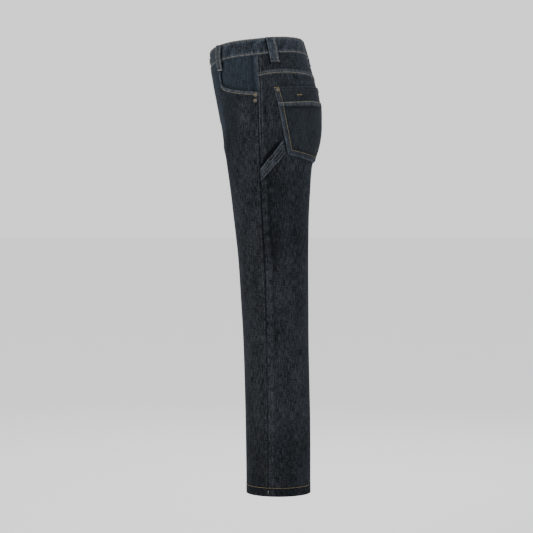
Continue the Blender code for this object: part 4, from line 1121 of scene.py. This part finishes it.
def path_curve(name, points):
    data = bpy.data.curves.new(name, "CURVE")
    data.dimensions = "3D"
    line = data.splines.new("POLY")
    line.points.add(len(points) - 1)
    line.points.foreach_set("co", np.column_stack((points, np.ones(len(points)))).astype(np.float32).ravel())
    curve = bpy.data.objects.new(name, data)
    bpy.context.scene.collection.objects.link(curve)
    return curve


def path_length(points):
    return float(np.linalg.norm(np.diff(points, axis=0), axis=1).sum())


def stitch_row(points, kind="gold", pitch=PITCH, thick=0.75):
    """Stitches along a path of points in metres that lies on the cloth."""
    length = path_length(points)
    count = max(int(length / (pitch * MM)), 1)
    deselect()
    bpy.ops.mesh.primitive_uv_sphere_add(segments=5, ring_count=4, radius=0.5,
                                         rotation=(0, math.pi / 2, 0), location=(0.5 * pitch * MM, 0, 0))
    stitch = bpy.context.object
    stitch.scale = (thick * MM, thick * MM, 0.84 * pitch * MM)
    bpy.ops.object.transform_apply(location=True, rotation=True, scale=True)
    repeat = stitch.modifiers.new("row", "ARRAY")
    repeat.fit_type, repeat.count = "FIXED_COUNT", count
    repeat.use_relative_offset, repeat.use_constant_offset = False, True
    repeat.constant_offset_displace = (length / count, 0, 0)
    curve = path_curve("seam path", points)
    follow = stitch.modifiers.new("seam", "CURVE")
    follow.object, follow.deform_axis = curve, "POS_X"
    apply_all(stitch)
    bpy.data.objects.remove(curve, do_unlink=True)
    ROWS[kind].append(stitch)


def bartack(points, across, kind="tack", reach=1.2):
    """A short dense zigzag over a path, its threads lying along the across vectors."""
    steps = int(path_length(points) / (0.55 * MM))
    at = np.linspace(0, len(points) - 1, 2 * steps)
    keys = np.arange(len(points))
    path = np.stack([np.interp(at, keys, points[:, k]) for k in range(3)], axis=1)
    wide = np.stack([np.interp(at, keys, across[:, k]) for k in range(3)], axis=1)
    sign = np.where(np.arange(len(at)) % 2, 1, -1)[:, None]
    curve = path_curve("tack path", path + wide * sign * reach * MM)
    curve.data.bevel_depth, curve.data.bevel_resolution = 0.30 * MM, 0
    select_only([curve])
    bpy.ops.object.convert(target="MESH")
    ROWS[kind].append(bpy.context.object)


def unit(vectors):
    return vectors / np.linalg.norm(vectors, axis=-1, keepdims=True)


def tack_over(here, above, kind, reach):
    """A bartack over a path, its threads square to it; above is the same path 1 mm further off the cloth."""
    bartack(here, np.cross(unit(np.gradient(here, axis=0)), unit(above - here)), kind, reach)


def dense(rows):
    """Straight runs between named points, cut into close steps."""
    rows = np.array(rows, float)
    along = run_lengths(rows)
    at = np.linspace(0, along[-1], TACK_STEPS)
    return np.interp(at, along, rows[:, 0]), np.interp(at, along, rows[:, 1])


OVER = 0.25


def panel_row(arc, height, side, part, kind="gold"):
    arc, height = np.broadcast_arrays(arc, height)
    lift = panel_lift(arc, height, side, part) + OVER
    stitch_row(place(arc, height, lift, side), kind)


def panel_tack(arcs, heights, side, part, kind="tack", reach=1.2):
    arc, height = dense(np.column_stack((arcs, heights)))
    lift = panel_lift(arc, height, side, part) + 0.5
    tack_over(place(arc, height, lift, side), place(arc, height, lift + 1, side), kind, reach)


# %% Sew the panels
for side_name, side in SIDES:
    heights = np.linspace(SIDE_RIDGE_END + 2, 1038, 220)
    for at in (1.9, 7.2):
        panel_row(at, heights, side, "back", "tonal")
    panel_tack((0.6, 8.6), (SIDE_RIDGE_END, SIDE_RIDGE_END), side, "back")
    for rise, kind in ((1.4, "gold"), (7.3, "tonal")):
        share = np.linspace(0.008, 0.995, 220)
        height = table(YOKE_EDGE, share) + rise
        panel_row(share * back_length(height), height, side, "back", kind)
    for outside, kind in ((1.8, "tonal"), (MOUTH_FOLD - 0.6, "gold")):
        edge = MOUTH_EDGE[8:-6]
        run = unit(np.gradient(edge, axis=0))
        moved = edge + np.column_stack((run[:, 1], -run[:, 0])) * outside
        low = moved[:, 1] < MOUTH_GOLD_END
        for rows, look in ((low, kind), (~low & (moved[:, 1] < MOUTH_ROW_END), "tonal")):
            panel_row(moved[rows, 0], moved[rows, 1], side, "front", look)
    share = np.linspace(0.004, 0.996, 160)
    panel_row(-share * front_length(HEM_ROW), HEM_ROW, side, "front")
    panel_row(share * back_length(HEM_ROW), HEM_ROW, side, "back")
    for inner in (2.2, 7.8):
        height = np.linspace(2, CROTCH_HEIGHT - 6, 320)
        panel_row(back_length(height) - inner, height, side, "back", "tonal")
for inner in (2.4, 8.2):
    height = np.linspace(CROTCH_HEIGHT + 22, 1044, 200)
    panel_row(back_length(height) - inner, height, LEFT, "back")
for inner in (2.0, 7.6):
    height = np.linspace(CROTCH_HEIGHT + 16, FLY_BOTTOM - 2, 60)
    panel_row(-(front_length(height) - inner), height, LEFT, "front", "tonal")
turn = np.linspace(0, math.pi / 2, 40)
for inner in (FLY_WIDTH - 6.0, FLY_WIDTH):
    height = np.concatenate((np.linspace(FLY_ROW_TOP, FLY_ROW_TURN, 90),
                             FLY_ROW_TURN - FLY_ROW_DROP * np.sin(turn)))
    from_centre = np.concatenate((np.full(90, inner), inner - (inner - 3) * (1 - np.cos(turn))))
    panel_row(-(front_length(height) - from_centre), height, LEFT, "front", "tonal")
height = np.linspace(FLY_BOTTOM + 4, FLY_ROW_TOP - 3, 100)
panel_row(-(front_length(height) - 2.0), height, LEFT, "front", "tonal")
panel_tack((-(front_length(925) - 31), -(front_length(930) - 37)), (925, 934), LEFT, "front", "tonal")
print("rows on the panels", {kind: len(rows) for kind, rows in ROWS.items()})


# %% Sew the pockets, strap, loops and band
def pocket_row(across, along, side, over, kind="gold"):
    across, along = np.broadcast_arrays(across, along)
    arc, height = pocket_point(across, along)
    stitch_row(place(arc, height, pocket_lift(across, along, side) + over + OVER, side), kind)


def pocket_tack(ends, side, over, kind="gold", reach=1.1):
    across, along = dense(ends)
    arc, height = pocket_point(across, along)
    lift = pocket_lift(across, along, side) + over + 0.45
    tack_over(place(arc, height, lift, side), place(arc, height, lift + 1, side), kind, reach)


INSET_ACROSS, INSET_ALONG = POCKET_INSET / POCKET_WIDE, POCKET_INSET / POCKET_TALL
ONE_LAYER, TWO_LAYERS = POCKET_CLOTH, 2 * POCKET_CLOTH + SEAM_GAP
for side_name, side in SIDES:
    above_patch = np.linspace(PATCH_SHARE + 0.01, 0.985, 40)
    for across in (INSET_ACROSS, 1 - INSET_ACROSS):
        pocket_row(across, above_patch, side, ONE_LAYER)
        pocket_row(across, np.linspace(INSET_ALONG, PATCH_SHARE - 0.005, 80), side, TWO_LAYERS)
    pocket_row(np.linspace(INSET_ACROSS, 1 - INSET_ACROSS, 160), INSET_ALONG, side, TWO_LAYERS)
    for edge in (1.8 / POCKET_WIDE, 1 - 1.8 / POCKET_WIDE):
        pocket_row(edge, np.linspace(0.015, PATCH_SHARE - 0.01, 80), side, TWO_LAYERS, "tonal")
        pocket_row(edge, above_patch, side, ONE_LAYER, "tonal")
    across = np.linspace(0.012, 0.988, 160)
    pocket_row(across, 0.012, side, TWO_LAYERS, "tonal")
    for drop in (2.0, 11.5):
        pocket_row(across, 1 - drop / POCKET_TALL, side, ONE_LAYER, "tonal")
    pocket_row(across, PATCH_SHARE - 1.9 / POCKET_TALL, side, TWO_LAYERS + 0.4)
    pocket_row(across, PATCH_SHARE - 8.0 / POCKET_TALL, side, TWO_LAYERS + 0.3, "tonal")
    for near, far in ((0.006, INSET_ACROSS), (1 - INSET_ACROSS, 0.994)):
        pocket_tack(((near, 0.990), (far, 0.990)), side, ONE_LAYER)
    pocket_tack(((0.292, 0.812), (0.366, 0.812)), side, ONE_LAYER)

for at in STRAP_LINES:
    along = np.linspace(0.03, 0.97, 80)
    arc, height = strap_point(at, along)
    stitch_row(place(arc, height, strap_lift(along) + STRAP_CLOTH + 0.05, LEFT), "tack", 3.0, 0.5)


def sew_loop(place_loop, gold):
    along = np.linspace(0.05, 0.985, 60)
    for across in LOOP_ROWS:
        stitch_row(place_loop(across, along, 0.10), "gold" if across in gold else "tonal")
    across = np.linspace(0.04, 0.96, TACK_STEPS)
    here, above = (place_loop(across, along, 0.55) for along in (0.035, 0.055))
    bartack(here, unit(above - here), "tack", 1.3)


def on_loop(part, arcs, side):
    def put(across, along, over):
        arc, height = loop_point(part, arcs, across, along)
        return place(arc, height, loop_stand(along) + loop_looks(across, along, 3 + side)[0] + over, side)
    return put


def on_centre_loop(across, along, over):
    arc, height, side = centre_point(across, along)
    lift = loop_stand(along, CENTRE_LOOP_STAND) - CENTRE_LOOP_PRESS + loop_looks(across, along, 7)[0] + over
    return place(arc, height, lift, side)


for side_name, side in SIDES:
    sew_loop(on_loop("front", FRONT_LOOP_ARCS, side), LOOP_ROWS)
    sew_loop(on_loop("back", SIDE_LOOP_ARCS, side), LOOP_ROWS[1:])
sew_loop(on_centre_loop, LOOP_ROWS[1:])

around = np.linspace(1.5, STEP_END - 6, 900)
for up in (3.0 / BAND_TALL, 1 - 2.2 / BAND_TALL):
    stitch_row(band_place(around, up, band_lift(around, up) + OVER))
end_up = np.linspace(0.10, 0.90, 24)
stitch_row(band_place(1.6, end_up, band_lift(1.6, end_up) + OVER))
print("stitch rows", {kind: len(rows) for kind, rows in ROWS.items()})

# %% Buttonhole
hole_station = np.concatenate((np.linspace(8, 24, 20), np.linspace(24, 8, 20)))
hole_up = 0.5 + np.concatenate((np.full(20, 0.030), np.full(20, -0.030)))
hole, above_hole = (band_place(hole_station, hole_up, band_lift(hole_station, hole_up) + over)
                    for over in (0.45, 1.45))
tack_over(hole, above_hole, "gold", 1.0)

# %% Join the sewing by its thread
for kind, rows in ROWS.items():
    select_only(rows)
    bpy.ops.object.join()
    sewing = bpy.context.object
    sewing.name = sewing.data.name = f"sewing_{kind}"
    sewing.data.materials.clear()
    sewing.data.materials.append(THREADS[kind])
    bpy.ops.object.shade_smooth()
    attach(sewing, "root")
    print(sewing.name, len(sewing.data.polygons), "faces")


# %% [markdown]
# Rivets and the button are turned profiles, each at its own place and tilt.

# %% Rivets and button
def turned(name, profile, radius, rise, steps, at, normal, material):
    """A profile in shares of radius and rise, from the axis at the top to the seat, turned round a normal."""
    deselect()
    bpy.ops.mesh.primitive_plane_add(size=1)
    piece = bpy.context.object
    piece.name = piece.data.name = name
    bpy.ops.object.mode_set(mode="EDIT")
    bpy.ops.mesh.delete(type="VERT")
    bpy.ops.object.mode_set(mode="OBJECT")
    piece.data.from_pydata([(r * radius * MM, 0, h * rise * MM) for r, h in profile],
                           [(i, i + 1) for i in range(len(profile) - 1)], [])
    piece.data.materials.append(material)
    spin = piece.modifiers.new("turn", "SCREW")
    spin.axis = "Z"
    spin.steps = spin.render_steps = steps
    spin.use_merge_vertices = True
    spin.merge_threshold = 0.00001
    apply_all(piece)
    piece.location = Vector(at)
    piece.rotation_mode = "QUATERNION"
    piece.rotation_quaternion = Vector(normal).to_track_quat("Z", "Y")
    bpy.ops.object.transform_apply(location=True, rotation=True, scale=True)
    bpy.ops.object.mode_set(mode="EDIT")
    bpy.ops.mesh.select_all(action="SELECT")
    bpy.ops.mesh.normals_make_consistent(inside=False)
    bpy.ops.object.mode_set(mode="OBJECT")
    bpy.ops.object.shade_smooth_by_angle(angle=math.radians(40))
    return piece


def seat(arc, height, lift, side):
    arc, height = np.array([float(arc)]), np.array([float(height)])
    here = place(arc, height, lift, side)[0]
    return here, unit(place(arc, height, lift + 5, side)[0] - here)


RIVET = ((0, 1), (0.28, 1), (0.42, 0.92), (0.50, 0.60), (0.56, 0.48), (0.80, 0.56), (0.92, 0.48),
         (0.98, 0.30), (1, 0.05), (0.97, 0), (0, 0))
BUTTON = ((0, 0.80), (0.18, 0.80), (0.24, 0.66), (0.52, 0.66), (0.60, 0.92), (0.70, 1), (0.84, 1),
          (0.94, 0.86), (1, 0.60), (0.97, 0.25), (0.8, 0), (0, 0))


def rivet(node, arc, height, lift, side):
    at, normal = seat(arc, height, lift, side)
    piece = turned(f"{node}_metal", RIVET, RIVET_RADIUS, RIVET_HEIGHT, 28, at, normal, brass)
    belongs(piece, node)


for side_name, side in SIDES:
    for number, (arc, height) in enumerate(FRONT_RIVETS, start=1):
        rivet(f"pocket_rivet_{side_name}_{number}", arc, height, RIVET_SEAT + 0.55, side)
    for number, (arc, height) in enumerate(POCKET_RIVETS, start=1):
        across = (arc - POCKET_TOP[0][0]) / (POCKET_TOP[2][0] - POCKET_TOP[0][0])
        lift = float(pocket_lift(across, 0.95, side)) + POCKET_CLOTH + 0.05
        rivet(f"back_pocket_rivet_{side_name}_{number}", arc, height, lift, side)

share = 1 - BUTTON_FROM_CENTRE / float(front_length(BAND_LEVEL))
height = float(table(BAND_EDGE_FRONT, share) + table(BAND_TOP_FRONT, share)) / 2
at, normal = seat(-share * float(front_length(height)), height, BAND_PROUD + SEAM_GAP, LEFT)
button = turned("waist_button_metal", BUTTON, BUTTON_RADIUS, BUTTON_HEIGHT, 40, at, normal, steel)
belongs(button, "waist_button")

# %% [markdown]

# %% [markdown]
# A plain pale floor well below the hem, soft studio light and the photo's camera.

# %% Floor, light and camera
deselect()
bpy.ops.mesh.primitive_plane_add(size=60, location=(0, 0, -1.5))
floor = bpy.context.object
floor.name = "floor"
floor_material, _, floor_shader = principled("pale floor")
set_inputs(floor_shader, {"Base Color": (0.9, 0.9, 0.9, 1), "Roughness": 0.9})
floor.data.materials.append(floor_material)

world = bpy.data.worlds.new("pale studio")
world.use_nodes = True
set_inputs(world.node_tree.nodes["Background"], {"Color": (1.0, 1.0, 1.0, 1), "Strength": 1.25})
bpy.context.scene.world = world


def soft_light(name, at, size, power):
    deselect()
    bpy.ops.object.light_add(type="AREA", location=at)
    lamp = bpy.context.object
    lamp.name = name
    lamp.data.size, lamp.data.energy = size, power
    lamp.rotation_mode = "QUATERNION"
    lamp.rotation_quaternion = (Vector((0, 0, -0.5)) - Vector(at)).to_track_quat("-Z", "Y")


soft_light("key", (3.2, -2.4, 1.6), 1.8, 90)
soft_light("fill", (2.6, 2.8, 0.6), 2.2, 35)
soft_light("back", (-3.0, 0.5, 1.2), 2.0, 40)

deselect()
CAMERA_AT, LOOKS_DOWN = (3.80, 0.0204, -0.32), 3.07
FOCAL_PIXELS, PHOTO_PIXELS, SENSOR = 1546.6, 533, 36
bpy.ops.object.camera_add(location=CAMERA_AT, rotation=(math.radians(90 - LOOKS_DOWN), 0, math.radians(90)))
camera = bpy.context.object
camera.data.sensor_width = SENSOR
camera.data.lens = SENSOR * FOCAL_PIXELS / PHOTO_PIXELS
bpy.context.scene.camera = camera
